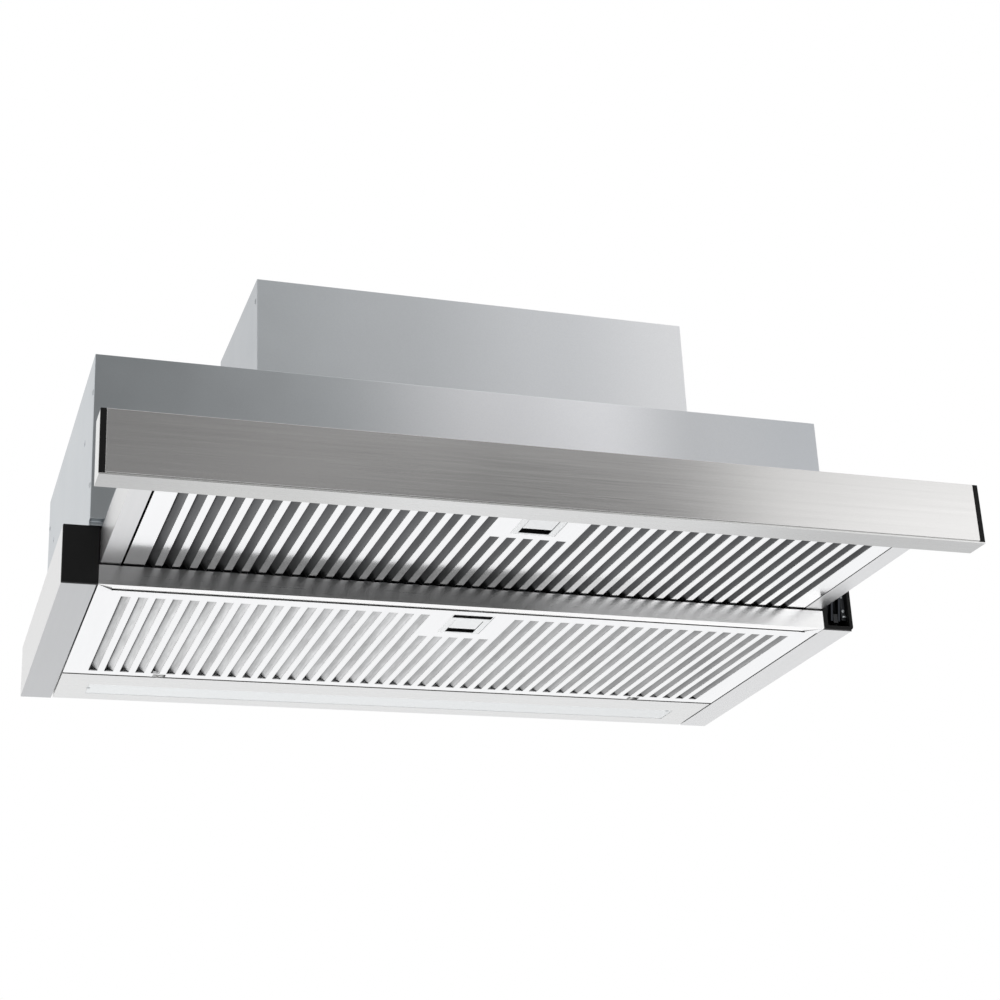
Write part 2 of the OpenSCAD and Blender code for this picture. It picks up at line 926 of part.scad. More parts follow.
button_top = panel_top + 0.6;
button_drop = 0.6;
button_travel = 1;
button_rim = 1;
button_rim_t = 1.2;
lip_under = carrier_top - t;
bar_h = 8;
bar_post = 2;
bar_end = 11.2;
bar_over = 2;
bar_gap = 0.3;

module button_bar() {
    x0 = button_x - bar_end;
    x1 = button_x + 3 * button_pitch + bar_end;
    y1 = button_y + button_r + bar_over;
    z1 = lip_under - button_drop - button_rim_t - button_travel - bar_gap;
    color("#202020") {
        box_at(x0, x1, carrier_y + t, y1, z1 - bar_h, z1);
        for (x = [x0, x1 - bar_post])
            box_at(x, x + bar_post, carrier_y + t, y1, z1 - eps, lip_under);
    }
}

module button(i) {
    x = button_x + i * button_pitch;
    rim_z = lip_under - button_drop;
    color("#2a2a2a") {
        rod_z(x, button_y, rim_z - eps, button_top, button_r);
        rod_z(x, button_y, rim_z - button_rim_t, rim_z, button_r + button_rim);
    }
}

module button_off() {
    button(0);
}

module button_low() {
    button(1);
}

module button_high() {
    button(2);
}

module button_light() {
    button(3);
}

// ---- blower ----

wheel_gap = 4;
scroll_wall = 2;
scroll_grow = 10;
scroll_r0 = wheel_r + wheel_gap + scroll_wall;
scroll_r1 = scroll_r0 + scroll_grow;
inlet_r = wheel_r - 9;
axis_x = box_shift;
axis_y = box_front + t + 2 + scroll_r1;
axis_z = cover_z + t + 12 + scroll_r1;

collar_wall = 3;
flange_over = 4.5;
flange_r = collar_r + flange_over;
flange_t = 2;
collar_y = box_back_y - t - 0.5 - flange_r;
stop_w = 2;
flap_gap = 0.8;
flap_r = collar_r - collar_wall - flap_gap;
flap_t = 1.2;
flap_seat = 0.2;
flap_z = box_top_z + 5;
flap_pin_r = 1.5;
flap_fit = 0.05;
knuckle_r = 2.8;
knuckle_gap = 2;
knuckle_split = 25;
knuckle_end = 50;

neck_over = 2;
neck_y0 = collar_y - collar_r - neck_over;
neck_y1 = collar_y + collar_r + neck_over;
neck_z = box_top_z - t;
neck_front_z = neck_z - 30;
neck_rise = 18;
neck_back_z = axis_z + scroll_r1 + neck_rise;
turn_start = 40;
turn_end = -180;
turn_steps = 40;

// outline of the scroll in y and z, drawn in by a wall
function scroll_r(a, inset) =
    scroll_r0 - inset + scroll_grow * (turn_start - a) / (turn_start - turn_end);
function scroll_outline(inset, top) = concat(
    [for (i = [0:turn_steps])
        let (a = turn_start + (turn_end - turn_start) * i / turn_steps)
            [axis_y + scroll_r(a, inset) * cos(a), axis_z + scroll_r(a, inset) * sin(a)]],
    [
        [neck_y0 + inset, neck_front_z],
        [neck_y0 + inset, top],
        [neck_y1 - inset, top],
        [neck_y1 - inset, neck_back_z]
    ]
);

module scroll_part(x0, x1, wall_x0) {
    difference() {
        prism_x(scroll_outline(0, neck_z), x0, x1);
        difference() {
            prism_x(scroll_outline(scroll_wall, neck_z + past), x0 - past, x1 + past);
            box_at(wall_x0, wall_x0 + scroll_wall, 0, lower_depth, 0, box_top_z + past * 2);
        }
        rod_x(wall_x0 - past, wall_x0 + scroll_wall + past, axis_y, axis_z, inlet_r);
    }
}

module scroll_left() {
    color("#5c6064") scroll_part(axis_x - scroll_half, axis_x, axis_x - scroll_half);
}

module scroll_right() {
    color("#5c6064") scroll_part(axis_x, axis_x + scroll_half, axis_x + scroll_half - scroll_wall);
}

wheel_half = scroll_half - scroll_wall - 3;
ring_t = 3;
disc_t = 2;
hub_r = 8;
hub_l = 13;
blade_d = 10;
blade_t = 1.2;
blade_lean = 30;
hub_fit = 0.02;
motor_gap = 4;
motor_l = scroll_half - 5;
motor_x0 = axis_x - motor_gap - motor_l;
motor_step = 8;
shaft_in = 36;
bearing_fit = 0.05;

module fan_wheel() {
    color("#2e3134")
        difference() {
            union() {
                for (x = [-wheel_half, wheel_half - ring_t])
                    difference() {
                        rod_x(axis_x + x, axis_x + x + ring_t, axis_y, axis_z, wheel_r);
                        rod_x(axis_x + x - past, axis_x + x + ring_t + past, axis_y, axis_z,
                            wheel_r - blade_d);
                    }
                rod_x(axis_x + 1, axis_x + 1 + disc_t, axis_y, axis_z, wheel_r);
                rod_x(axis_x + 1, axis_x + 1 + hub_l, axis_y, axis_z, hub_r);
                for (i = [0:blade_count - 1])
                    translate([axis_x - wheel_half + 1, front_y + axis_y, axis_z])
                        rotate([i * 360 / blade_count, 0, 0])
                            translate([0, 0, wheel_r - blade_d + 1])
                                rotate([blade_lean, 0, 0])
                                    cube([2 * wheel_half - 2, blade_t, blade_d - 2]);
            }
            rod_x(axis_x, axis_x + hub_l + past * 2, axis_y, axis_z, shaft_r + hub_fit);
        }
}

module motor_shaft() {
    color("#a0a3a6")
        rod_x(axis_x - motor_gap - shaft_in, axis_x + hub_l, axis_y, axis_z, shaft_r);
}

module motor_body() {
    color("#8a8d90")
        difference() {
            union() {
                rod_x(motor_x0, motor_x0 + motor_l, axis_y, axis_z, motor_r - motor_step / 2);
                rod_x(motor_x0 + motor_step, motor_x0 + motor_l - motor_step, axis_y, axis_z, motor_r);
            }
            rod_x(axis_x - motor_gap - shaft_in - 2, axis_x + past, axis_y, axis_z,
                shaft_r + bearing_fit);
        }
}

bracket_t = 2;
bracket_r = motor_r - motor_step;
bracket_hole_r = 12;
arm_w = 10;
arm_over = 8;

module motor_bracket() {
    x = axis_x - scroll_half - bracket_t;
    color("#7b7f82") {
        difference() {
            rod_x(x, motor_x0, axis_y, axis_z, bracket_r);
            rod_x(x - past, motor_x0 + past, axis_y, axis_z, bracket_hole_r);
        }
        for (a = [90, 210, 330])
            translate([x, front_y + axis_y, axis_z])
                rotate([a, 0, 0])
                    translate([0, bracket_r - 2, -arm_w / 2])
                        cube([bracket_t, inlet_r + arm_over - bracket_r + 2, arm_w]);
    }
}

screw_hole_r = 1.4;
collar_screw_at = collar_r + flange_over / 2;

module collar_hole(a, z0) {
    rod_z(axis_x + collar_screw_at * cos(a), collar_y + collar_screw_at * sin(a),
        z0 - past, z0 + flange_t + past, screw_hole_r);
}

sink_r = 2.1;
sink_h = 1.3;

// countersink of a collar screw, with its wide end at the height z
module collar_sink(a, z) {
    x = axis_x + collar_screw_at * cos(a);
    y = collar_y + collar_screw_at * sin(a);
    translate([x, front_y + y, z - sink_h])
        cylinder(r1 = screw_hole_r, r2 = sink_r, h = sink_h);
    rod_z(x, y, z - eps, z + past, sink_r);
}

module outlet_collar() {
    top = box_top_z + collar_h;
    color("#26282a") {
        difference() {
            union() {
                rod_z(axis_x, collar_y, box_top_z, box_top_z + flange_t, flange_r);
                rod_z(axis_x, collar_y, box_top_z, top, collar_r);
            }
            rod_z(axis_x, collar_y, flap_z - flap_t / 2 - flap_seat, top + past, collar_r - collar_wall);
            rod_z(axis_x, collar_y, box_top_z - past, top + past, collar_r - collar_wall - stop_w);
            for (a = [45:90:315]) {
                collar_hole(a, box_top_z);
                collar_sink(a, box_top_z + flange_t);
            }
        }
        // fixed pin of the flaps, across the collar
        rod_x(axis_x - collar_r + collar_wall - past, axis_x + collar_r - collar_wall + past,
            collar_y, flap_z, flap_pin_r);
    }
}

// a half disc with knuckles on the shared pin; side is -1 in front of the pin and 1 behind it
module flap(side, spans) {
    root = knuckle_r + 0.5;
    color("#3a3d40")
        difference() {
            union() {
                difference() {
                    rod_z(axis_x, collar_y, flap_z - flap_t / 2, flap_z + flap_t / 2, flap_r);
                    translate([0, -side * (flap_r + past - root), 0])
                        box_at(axis_x - flap_r - past, axis_x + flap_r + past,
                            collar_y - flap_r - past, collar_y + flap_r + past,
                            flap_z - flap_t, flap_z + flap_t);
                }
                for (span = spans) {
                    rod_x(axis_x + span[0], axis_x + span[1], collar_y, flap_z, knuckle_r);
                    translate([0, side * (root + past) / 2, 0])
                        box_at(axis_x + span[0], axis_x + span[1], collar_y - (root + past) / 2,
                            collar_y + (root + past) / 2, flap_z - flap_t / 2, flap_z + flap_t / 2);
                }
            }
            rod_x(axis_x - flap_r - past, axis_x + flap_r + past, collar_y, flap_z, flap_pin_r + flap_fit);
        }
}

module flap_front() {
    flap(-1, [[-knuckle_end, -knuckle_split - knuckle_gap / 2], [knuckle_split + knuckle_gap / 2, knuckle_end]]);
}

module flap_rear() {
    flap(1, [[-knuckle_split + knuckle_gap / 2, knuckle_split - knuckle_gap / 2]]);
}

// ---- electrical pieces ----

terminal_w = 70;
terminal_d = 48;
terminal_h = 30;
terminal_wall = 2;
terminal_fit = 0.05;
terminal_in = 67;
terminal_back = 36;
terminal_x = -body_x + terminal_in;
terminal_y = lower_depth - terminal_back;
gland_z = body_top + 14;
gland_r = 9;
gland_l = 10;
gland_seat_r = 6;
gland_bore_r = 3.6;

module terminal_box() {
    x0 = terminal_x - terminal_w / 2;
    y0 = terminal_y - terminal_d / 2;
    color("#2b2d2f") {
        difference() {
            box_at(x0, x0 + terminal_w, y0, y0 + terminal_d, body_top, body_top + terminal_h);
            box_at(x0 - past, x0 + terminal_w - terminal_wall, y0 + terminal_wall,
                y0 + terminal_d - terminal_wall, body_top - past, body_top + terminal_h - terminal_wall);
        }
        // plate that carries the cable gland
        difference() {
            box_at(x0, x0 + terminal_wall, y0 + terminal_wall + terminal_fit,
                y0 + terminal_d - terminal_wall - terminal_fit, body_top,
                body_top + terminal_h - terminal_wall - terminal_fit);
            rod_x(x0 - past, x0 + terminal_wall + past, terminal_y, gland_z, gland_seat_r);
        }
    }
}

module cable_gland() {
    x0 = terminal_x - terminal_w / 2;
    color("#1b1c1d")
        difference() {
            union() {
                rod_x(x0 - gland_l, x0, terminal_y, gland_z, gland_r);
                rod_x(x0 - eps, x0 + terminal_wall * 2, terminal_y, gland_z, gland_seat_r - 0.1);
            }
            rod_x(x0 - gland_l - past, x0 + terminal_wall * 2 + past, terminal_y, gland_z, gland_bore_r);
        }
}

control_w = 45;
control_l = 80;
control_h = 34;
control_wall = 2;

module control_box() {
    x1 = body_x - 30;
    y1 = lower_depth - 32;
    z1 = body_top - t;
    color("#33363a")
        difference() {
            box_at(x1 - control_w, x1, y1 - control_l, y1, z1 - control_h, z1);
            box_at(x1 - control_w + control_wall, x1 - control_wall, y1 - control_l + control_wall,
                y1 - control_wall, z1 - control_h + control_wall, z1 - control_wall);
        }
}

// ---- switch that the drawer works, in the right end piece ----

switch_w = 9;
switch_x0 = inner_x + 8;
switch_x1 = switch_x0 + switch_w;
lever_y = 8;
lever_z = 11;
lever_pin_r = 1.5;
lever_fit = 0.05;
lever_r = 2.4;
lever_arm = 1.6;
lever_in = 0.6;
lever_top = lever_z + 19;
roller_y = 2.6;
roller_r = 1.6;
switch_body_y = lever_y + 3.6;
lug_half = switch_w / 2 - lever_in - lever_arm - 0.4;

module micro_switch() {
    mid = (switch_x0 + switch_x1) / 2;
    color("#3d4043")
        difference() {
            union() {
                box_at(switch_x0, switch_x1, switch_body_y, recess_d, lever_z - 4, lever_top + 1);
                box_at(mid - lug_half, mid + lug_half, lever_y - 3, switch_body_y + eps,
                    lever_z - 4, lever_z + 3);
            }
            rod_x(switch_x0, switch_x1, lever_y, lever_z, lever_pin_r + lever_fit);
        }
}

module switch_lever() {
    color("#9b9ea1") {
        for (x = [switch_x0 + lever_in, switch_x1 - lever_in - lever_arm])
            prism_x([
                [lever_y - lever_r, lever_z - lever_r],
                [lever_y + lever_r, lever_z - lever_r],
                [lever_y + lever_r, lever_z + lever_r],
                [roller_y + 0.6, lever_top],
                [roller_y - 1.4, lever_top]
            ], x, x + lever_arm);
        rod_x(switch_x0 + lever_in, switch_x1 - lever_in, lever_y, lever_z, lever_pin_r);
        rod_x(switch_x0 + lever_in, switch_x1 - lever_in, roller_y, lever_top - 1, roller_r);
    }
}

// ---- screws ----

screw_r = 2.2;
screw_h = 0.6;
screw_in = 7;
screw_drop = 27;
box_screw_drop = 16;
collar_screw_r = 2;
collar_screw_h = 1.2;
collar_screw_sink = 0.1;
collar_shank_r = 1.3;
collar_screw_tip = 2;

module side_screw(x, y, z) {
    rod_x(x < 0 ? x - screw_h : x, x < 0 ? x : x + screw_h, y, z, screw_r);
}

// countersunk screw, flush with the flange
module collar_screw(a) {
    head_z = box_top_z + flange_t - collar_screw_sink;
    tip_z = box_top_z - t - collar_screw_tip;
    x = axis_x + collar_screw_at * cos(a);
    y = collar_y + collar_screw_at * sin(a);
    translate([x, front_y + y, head_z - collar_screw_h])
        cylinder(r1 = collar_shank_r, r2 = collar_screw_r, h = collar_screw_h);
    rod_z(x, y, tip_z, head_z - collar_screw_h + eps, collar_shank_r);
}

module sheet_screws() {
    color("#6f7377") {
        for (z = [body_foot + screw_drop, body_top - screw_drop])
            for (y = [body_front + screw_in, lower_depth - screw_in], side = [-1, 1])
                side_screw(side * body_x, y, z);
        for (z = [body_top + box_screw_drop, box_top_z - box_screw_drop])
            for (y = [box_front + screw_in, box_back_y - screw_in], x = [box_l, box_r])
                side_screw(x, y, z);
        for (a = [45:90:315])
            collar_screw(a);
    }
}

side_profile_left();
side_profile_right();
end_cap_left();
end_frame_right();
front_beam();
fixed_filter_face();
fixed_filter_mesh();
fixed_latch_housing();
fixed_latch_slider();
fixed_latch_spring();
light_housing();
light_diffuser();
led_board();
upper_front_sheet();
side_wall_left();
side_wall_right();
back_wall();
upper_top_plate();
box_front_sheet();
box_side_left();
box_side_right();
box_back_sheet();
box_top_plate();
track_left();
track_right();
panel_face();
panel_carrier();
panel_end_strips();
drawer_cover();
drawer_front_rail();
drawer_rail_left();
drawer_rail_right();
drawer_rear_rail();
runner_left();
runner_right();
drawer_filter_face();
drawer_filter_mesh();
drawer_latch_housing();
drawer_latch_slider();
drawer_latch_spring();
button_bar();
button_off();
button_low();
button_high();
button_light();
scroll_left();
scroll_right();
fan_wheel();
motor_shaft();
motor_body();
motor_bracket();
outlet_collar();
flap_front();
flap_rear();
terminal_box();
cable_gland();
control_box();
micro_switch();
switch_lever();
sheet_screws();
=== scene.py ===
import json
import math

import bmesh
import bpy
from mathutils import Matrix, Vector


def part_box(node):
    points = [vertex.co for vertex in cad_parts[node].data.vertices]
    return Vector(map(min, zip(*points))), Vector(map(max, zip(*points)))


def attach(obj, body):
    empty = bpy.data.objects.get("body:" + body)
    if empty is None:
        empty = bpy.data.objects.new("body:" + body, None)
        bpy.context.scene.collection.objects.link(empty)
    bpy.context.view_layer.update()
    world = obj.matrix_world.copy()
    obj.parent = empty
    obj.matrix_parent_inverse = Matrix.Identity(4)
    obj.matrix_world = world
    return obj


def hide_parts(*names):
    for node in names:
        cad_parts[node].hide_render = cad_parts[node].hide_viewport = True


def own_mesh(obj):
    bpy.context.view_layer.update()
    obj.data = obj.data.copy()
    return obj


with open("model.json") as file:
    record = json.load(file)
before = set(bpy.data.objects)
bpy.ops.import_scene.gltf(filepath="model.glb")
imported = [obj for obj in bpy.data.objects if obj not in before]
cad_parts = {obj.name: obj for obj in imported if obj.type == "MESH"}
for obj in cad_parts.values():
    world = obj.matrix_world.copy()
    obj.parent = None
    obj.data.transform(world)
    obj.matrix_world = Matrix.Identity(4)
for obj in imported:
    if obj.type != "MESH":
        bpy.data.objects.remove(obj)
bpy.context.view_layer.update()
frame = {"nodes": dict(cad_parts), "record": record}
nodes = frame["nodes"]
scene = bpy.context.scene
scene.view_settings.view_transform = "Standard"
mm = 0.001
bodyOf = {node: body for body, group in frame["record"]["behaviour"]["bodies"].items() for node in group}
slotOf = {part["node"]: part["material_slot"] for part in frame["record"]["subparts"]}

cameraSetup = {
    "focalMm": 70.11,
    "sensorMm": 36.0,
    "place": (-0.425717, -1.309140, -0.445634),
    "right": (0.948621, -0.313132, -0.045457),
    "forward": (0.307288, 0.877448, 0.368320),
}


def placeCamera(setup):
    data = bpy.data.cameras.new("camera")
    data.sensor_width = setup["sensorMm"]
    data.lens = setup["focalMm"]
    data.clip_start = 0.05
    data.clip_end = 50
    camera = bpy.data.objects.new("camera", data)
    right = Vector(setup["right"]).normalized()
    back = -Vector(setup["forward"]).normalized()
    up = back.cross(right).normalized()
    right = up.cross(back)
    turn = Matrix((right, up, back)).transposed().to_4x4()
    camera.matrix_world = Matrix.Translation(setup["place"]) @ turn
    scene.collection.objects.link(camera)
    scene.camera = camera


def addNode(tree, kind, settings=None, inputs=None):
    node = tree.nodes.new(kind)
    for key, value in (settings or {}).items():
        setattr(node, key, value)
    for key, value in (inputs or {}).items():
        if isinstance(value, bpy.types.NodeSocket):
            tree.links.new(value, node.inputs[key])
        else:
            node.inputs[key].default_value = value
    return node


def hexToLinear(text):
    channels = [int(text[i:i + 2], 16) / 255 for i in (1, 3, 5)]
    return tuple(c / 12.92 if c <= 0.04045 else ((c + 0.055) / 1.055) ** 2.4 for c in channels) + (1.0,)


def emptyMaterial(name):
    material = bpy.data.materials.new(name)
    material.use_nodes = True
    material.node_tree.nodes.clear()
    return material


def tonesAlong(tree, value, stops):
    # colours listed at places along value, with soft steps between them
    low, high = stops[0][0], stops[-1][0]
    share = addNode(tree, "ShaderNodeMapRange", None, {"Value": value, "From Min": low, "From Max": high})
    ramp = addNode(tree, "ShaderNodeValToRGB", None, {"Fac": share.outputs[0]})
    ramp.color_ramp.interpolation = "EASE"
    marks = ramp.color_ramp.elements
    marks[0].color = hexToLinear(stops[0][1])
    marks[1].color = hexToLinear(stops[-1][1])
    for place, tone in stops[1:-1]:
        marks.new((place - low) / (high - low)).color = hexToLinear(tone)
    return ramp.outputs["Color"]


studio = {
    "fill": 0.55,  # strength of the room's light on the object
    "fillColour": "#fbfcff",
    "floorZ": -1.9,
    "floorSize": 14.0,
    "floorColour": "#f2f2f2",
    "floorLift": 0.45,  # what brings the lit floor up to white for the eye
}


def seenDirectly(tree):
    # 1 where the eye, a reflection or a clear body looks at the surface
    path = addNode(tree, "ShaderNodeLightPath")
    seen = addNode(tree, "ShaderNodeMath", {"operation": "MAXIMUM"},
                   {0: path.outputs["Is Camera Ray"], 1: path.outputs["Is Glossy Ray"]})
    return addNode(tree, "ShaderNodeMath", {"operation": "MAXIMUM"},
                   {0: seen.outputs[0], 1: path.outputs["Is Transmission Ray"]}).outputs[0]


def buildWorld():
    world = bpy.data.worlds.new("paleRoom")
    world.use_nodes = True
    scene.world = world
    tree = world.node_tree
    tree.nodes.clear()
    white = addNode(tree, "ShaderNodeBackground", None, {"Color": (1, 1, 1, 1), "Strength": 1.0})
    fill = addNode(tree, "ShaderNodeBackground", None,
                   {"Color": hexToLinear(studio["fillColour"]), "Strength": studio["fill"]})
    mix = addNode(tree, "ShaderNodeMixShader", None,
                  {0: seenDirectly(tree), 1: fill.outputs[0], 2: white.outputs[0]})
    addNode(tree, "ShaderNodeOutputWorld", None, {"Surface": mix.outputs[0]})


def buildFloor():
    # matt painted floor: white to the eye, and still takes the soft shadow
    material = emptyMaterial("mattWhiteFloor")
    tree = material.node_tree
    surface = addNode(tree, "ShaderNodeBsdfDiffuse", None, {"Color": hexToLinear(studio["floorColour"])})
    lift = addNode(tree, "ShaderNodeMath", {"operation": "MULTIPLY"},
                   {0: seenDirectly(tree), 1: studio["floorLift"]})
    glow = addNode(tree, "ShaderNodeEmission", None, {"Color": (1, 1, 1, 1), "Strength": lift.outputs[0]})
    both = addNode(tree, "ShaderNodeAddShader", None, {0: surface.outputs[0], 1: glow.outputs[0]})
    addNode(tree, "ShaderNodeOutputMaterial", None, {"Surface": both.outputs[0]})
    half = studio["floorSize"] / 2
    mesh = bpy.data.meshes.new("studioFloor")
    corners = [(-half, -half, 0), (half, -half, 0), (half, half, 0), (-half, half, 0)]
    mesh.from_pydata(corners, [], [(0, 1, 2, 3)])
    mesh.materials.append(material)
    floor = bpy.data.objects.new("studioFloor", mesh)
    floor.location = (0, 0, studio["floorZ"])
    scene.collection.objects.link(floor)


lampTarget = (0, 0, 0.1)
lamps = {
    "keyLight": {"place": (-1.6, -2.0, 1.8), "sideM": 1.6, "watts": 40},
    "lowLight": {"place": (-0.4, 0.6, -1.7), "sideM": 2.0, "watts": 40},
    "backLight": {"place": (1.4, 1.8, 1.6), "sideM": 1.4, "watts": 30},
}


def areaLight(name, setup):
    data = bpy.data.lights.new(name, "AREA")
    data.shape = "RECTANGLE"
    data.size = data.size_y = setup["sideM"]
    data.energy = setup["watts"]
    light = bpy.data.objects.new(name, data)
    light.location = setup["place"]
    aim = Vector(lampTarget) - Vector(setup["place"])
    light.rotation_euler = aim.to_track_quat("-Z", "Y").to_euler()
    scene.collection.objects.link(light)
    light.visible_glossy = False  # the steel shows the room and the card, not the lamps


gradedCard = {
    "left": -3.5, "right": 5.5, "bottom": -1.9, "top": 4.1, "y": -4.2,
    "glow": 1.3,
    # tones from left to right, in metres along x, for three bands from the floor up
    # what the beam and the bars next to it mirror
    "low": [(-3.5, "#585858"), (1.35, "#585858"), (1.6, "#c8c8c8"), (1.8, "#ffffff"), (5.5, "#ffffff")],
    # what the drawer's panel mirrors
    "middle": [(-3.5, "#808080"), (0.3, "#868686"), (0.7, "#969696"), (1.0, "#888888"), (1.4, "#6c6c6c"),
               (1.9, "#707070"), (2.2, "#eeeeee"), (2.5, "#ffffff"), (5.5, "#ffffff")],
    # what the upper front sheets mirror
    "high": [(-3.5, "#6d6d6d"), (0.3, "#6d6d6d"), (0.75, "#8e8e8e"), (1.36, "#ececec"), (1.65, "#ffffff"),
             (2.0, "#dcdcdc"), (2.4, "#c6c6c6"), (5.5, "#c6c6c6")],
    "lowToMiddle": (-0.35, 0.15),
    "middleToHigh": (1.75, 2.3),
}


def buildCard(setup):
    # a grey to white card behind the camera: the front sheets show it as their soft change of tone
    material = emptyMaterial("gradedCard")
    tree = material.node_tree
    place = addNode(tree, "ShaderNodeTexCoord")
    split = addNode(tree, "ShaderNodeSeparateXYZ", None, {0: place.outputs["Object"]})
    tone = tonesAlong(tree, split.outputs["X"], setup["low"])
    for band, step in (("middle", "lowToMiddle"), ("high", "middleToHigh")):
        low, high = setup[step]
        height = addNode(tree, "ShaderNodeMapRange", None,
                         {"Value": split.outputs["Z"], "From Min": low, "From Max": high})
        tone = addNode(tree, "ShaderNodeMix", {"data_type": "RGBA"},
                       {0: height.outputs[0], 6: tone,
                        7: tonesAlong(tree, split.outputs["X"], setup[band])}).outputs[2]
    glow = addNode(tree, "ShaderNodeEmission", None, {"Color": tone, "Strength": setup["glow"]})
    addNode(tree, "ShaderNodeOutputMaterial", None, {"Surface": glow.outputs[0]})
    mesh = bpy.data.meshes.new("gradedCard")
    y = setup["y"]
    corners = [(x, y, z) for x, z in ((setup["left"], setup["bottom"]), (setup["right"], setup["bottom"]),
                                      (setup["right"], setup["top"]), (setup["left"], setup["top"]))]
    mesh.from_pydata(corners, [], [(0, 3, 2, 1)])
    mesh.materials.append(material)
    card = bpy.data.objects.new("gradedCard", mesh)
    scene.collection.objects.link(card)
    card.visible_camera = False
    card.visible_diffuse = False
    card.visible_shadow = False


placeCamera(cameraSetup)
buildWorld()
buildFloor()
buildCard(gradedCard)
for name, setup in lamps.items():
    areaLight(name, setup)
print("studio ready")


def surfacePlace(tree):
    # place on the object in metres
    return addNode(tree, "ShaderNodeTexCoord").outputs["Object"]


def baseTone(tree, place, tone):
    # one colour, or listed colours at places in millimetres along an axis
    if isinstance(tone, str):
        return hexToLinear(tone)
    split = addNode(tree, "ShaderNodeSeparateXYZ", None, {0: place})
    colour = None
    for axis, stops in tone.items():
        ramp = tonesAlong(tree, split.outputs[axis], [(at * mm, mark) for at, mark in stops])
        colour = ramp if colour is None else addNode(
            tree, "ShaderNodeMix", {"data_type": "RGBA", "blend_type": "MULTIPLY"},
            {0: 1.0, 6: colour, 7: ramp}).outputs[2]
    return colour


def shadedTone(tree, place, tone, pattern, contrast):
    # the pattern darkens the tone by contrast at most
    shade = addNode(tree, "ShaderNodeMapRange", None,
                    {"Value": pattern, "From Min": 0.3, "From Max": 0.7,
                     "To Min": 1 - contrast, "To Max": 1.0})
    return addNode(tree, "ShaderNodeMix", {"data_type": "RGBA", "blend_type": "MULTIPLY"},
                   {0: 1.0, 6: baseTone(tree, place, tone), 7: shade.outputs[0]}).outputs[2]


def metalSurface(tree, colour, rough, bump):
    shader = addNode(tree, "ShaderNodeBsdfPrincipled", None,
                     {"Base Color": colour, "Metallic": 1.0, "Roughness": rough, "Normal": bump})
    addNode(tree, "ShaderNodeOutputMaterial", None, {"Surface": shader.outputs[0]})


def brushedSteel(name, tone, grainAxis, setup):
    # stainless steel brushed along one axis: fine streaks that draw its reflections out
    material = emptyMaterial(name)
    tree = material.node_tree
    place = surfacePlace(tree)
    scale = [1 / (setup["grainMm"] * mm)] * 3
    scale[grainAxis] = 1 / (setup["streakMm"] * mm)
    stretched = addNode(tree, "ShaderNodeMapping", None, {"Vector": place, "Scale": scale})
    grain = addNode(tree, "ShaderNodeTexNoise", None,
                    {"Vector": stretched.outputs[0], "Scale": 1.0, "Detail": 3.0, "Roughness": 0.6})
    wide = [s / 7 for s in scale]
    wide[grainAxis] = scale[grainAxis] / 4
    slow = addNode(tree, "ShaderNodeMapping", None, {"Vector": place, "Scale": wide})
    bands = addNode(tree, "ShaderNodeTexNoise", None,
                    {"Vector": slow.outputs[0], "Scale": 1.0, "Detail": 2.0, "Roughness": 0.5})
    both = addNode(tree, "ShaderNodeMix", {"data_type": "FLOAT"},
                   {0: setup.get("bandShare", 0.35), 2: grain.outputs["Fac"], 3: bands.outputs["Fac"]})
    colour = shadedTone(tree, place, tone, both.outputs[0], setup["contrast"])
    rough = addNode(tree, "ShaderNodeMapRange", None,
                    {"Value": grain.outputs["Fac"], "From Min": 0.25, "From Max": 0.75,
                     "To Min": setup["roughness"] - 0.04, "To Max": setup["roughness"] + 0.05})
    bump = addNode(tree, "ShaderNodeBump", None,
                   {"Strength": setup["bump"], "Distance": 0.02 * mm, "Height": grain.outputs["Fac"]})
    metalSurface(tree, colour, rough.outputs[0], bump.outputs[0])
    return material


def galvanisedSteel(name, tone, setup):
    # hot-dip galvanised sheet, skin-passed: cool grey with a faint cloudy bloom and a fine tooth
    material = emptyMaterial(name)
    tree = material.node_tree
    place = surfacePlace(tree)
    cloud = addNode(tree, "ShaderNodeTexNoise", None,
                    {"Vector": place, "Scale": 1 / (setup["cloudMm"] * mm), "Detail": 3.0, "Roughness": 0.6})
    speck = addNode(tree, "ShaderNodeTexNoise", None,
                    {"Vector": place, "Scale": 1 / (setup["speckMm"] * mm), "Detail": 2.0, "Roughness": 0.7})
    both = addNode(tree, "ShaderNodeMix", {"data_type": "FLOAT"},
                   {0: 0.6, 2: cloud.outputs["Fac"], 3: speck.outputs["Fac"]})
    colour = shadedTone(tree, place, tone, both.outputs[0], setup["contrast"])
    rough = addNode(tree, "ShaderNodeMapRange", None,
                    {"Value": cloud.outputs["Fac"], "From Min": 0.3, "From Max": 0.7,
                     "To Min": setup["roughness"] - 0.02, "To Max": setup["roughness"] + 0.04})
    bump = addNode(tree, "ShaderNodeBump", None,
                   {"Strength": 0.12, "Distance": 0.02 * mm, "Height": speck.outputs["Fac"]})
    metalSurface(tree, colour, rough.outputs[0], bump.outputs[0])
    return material


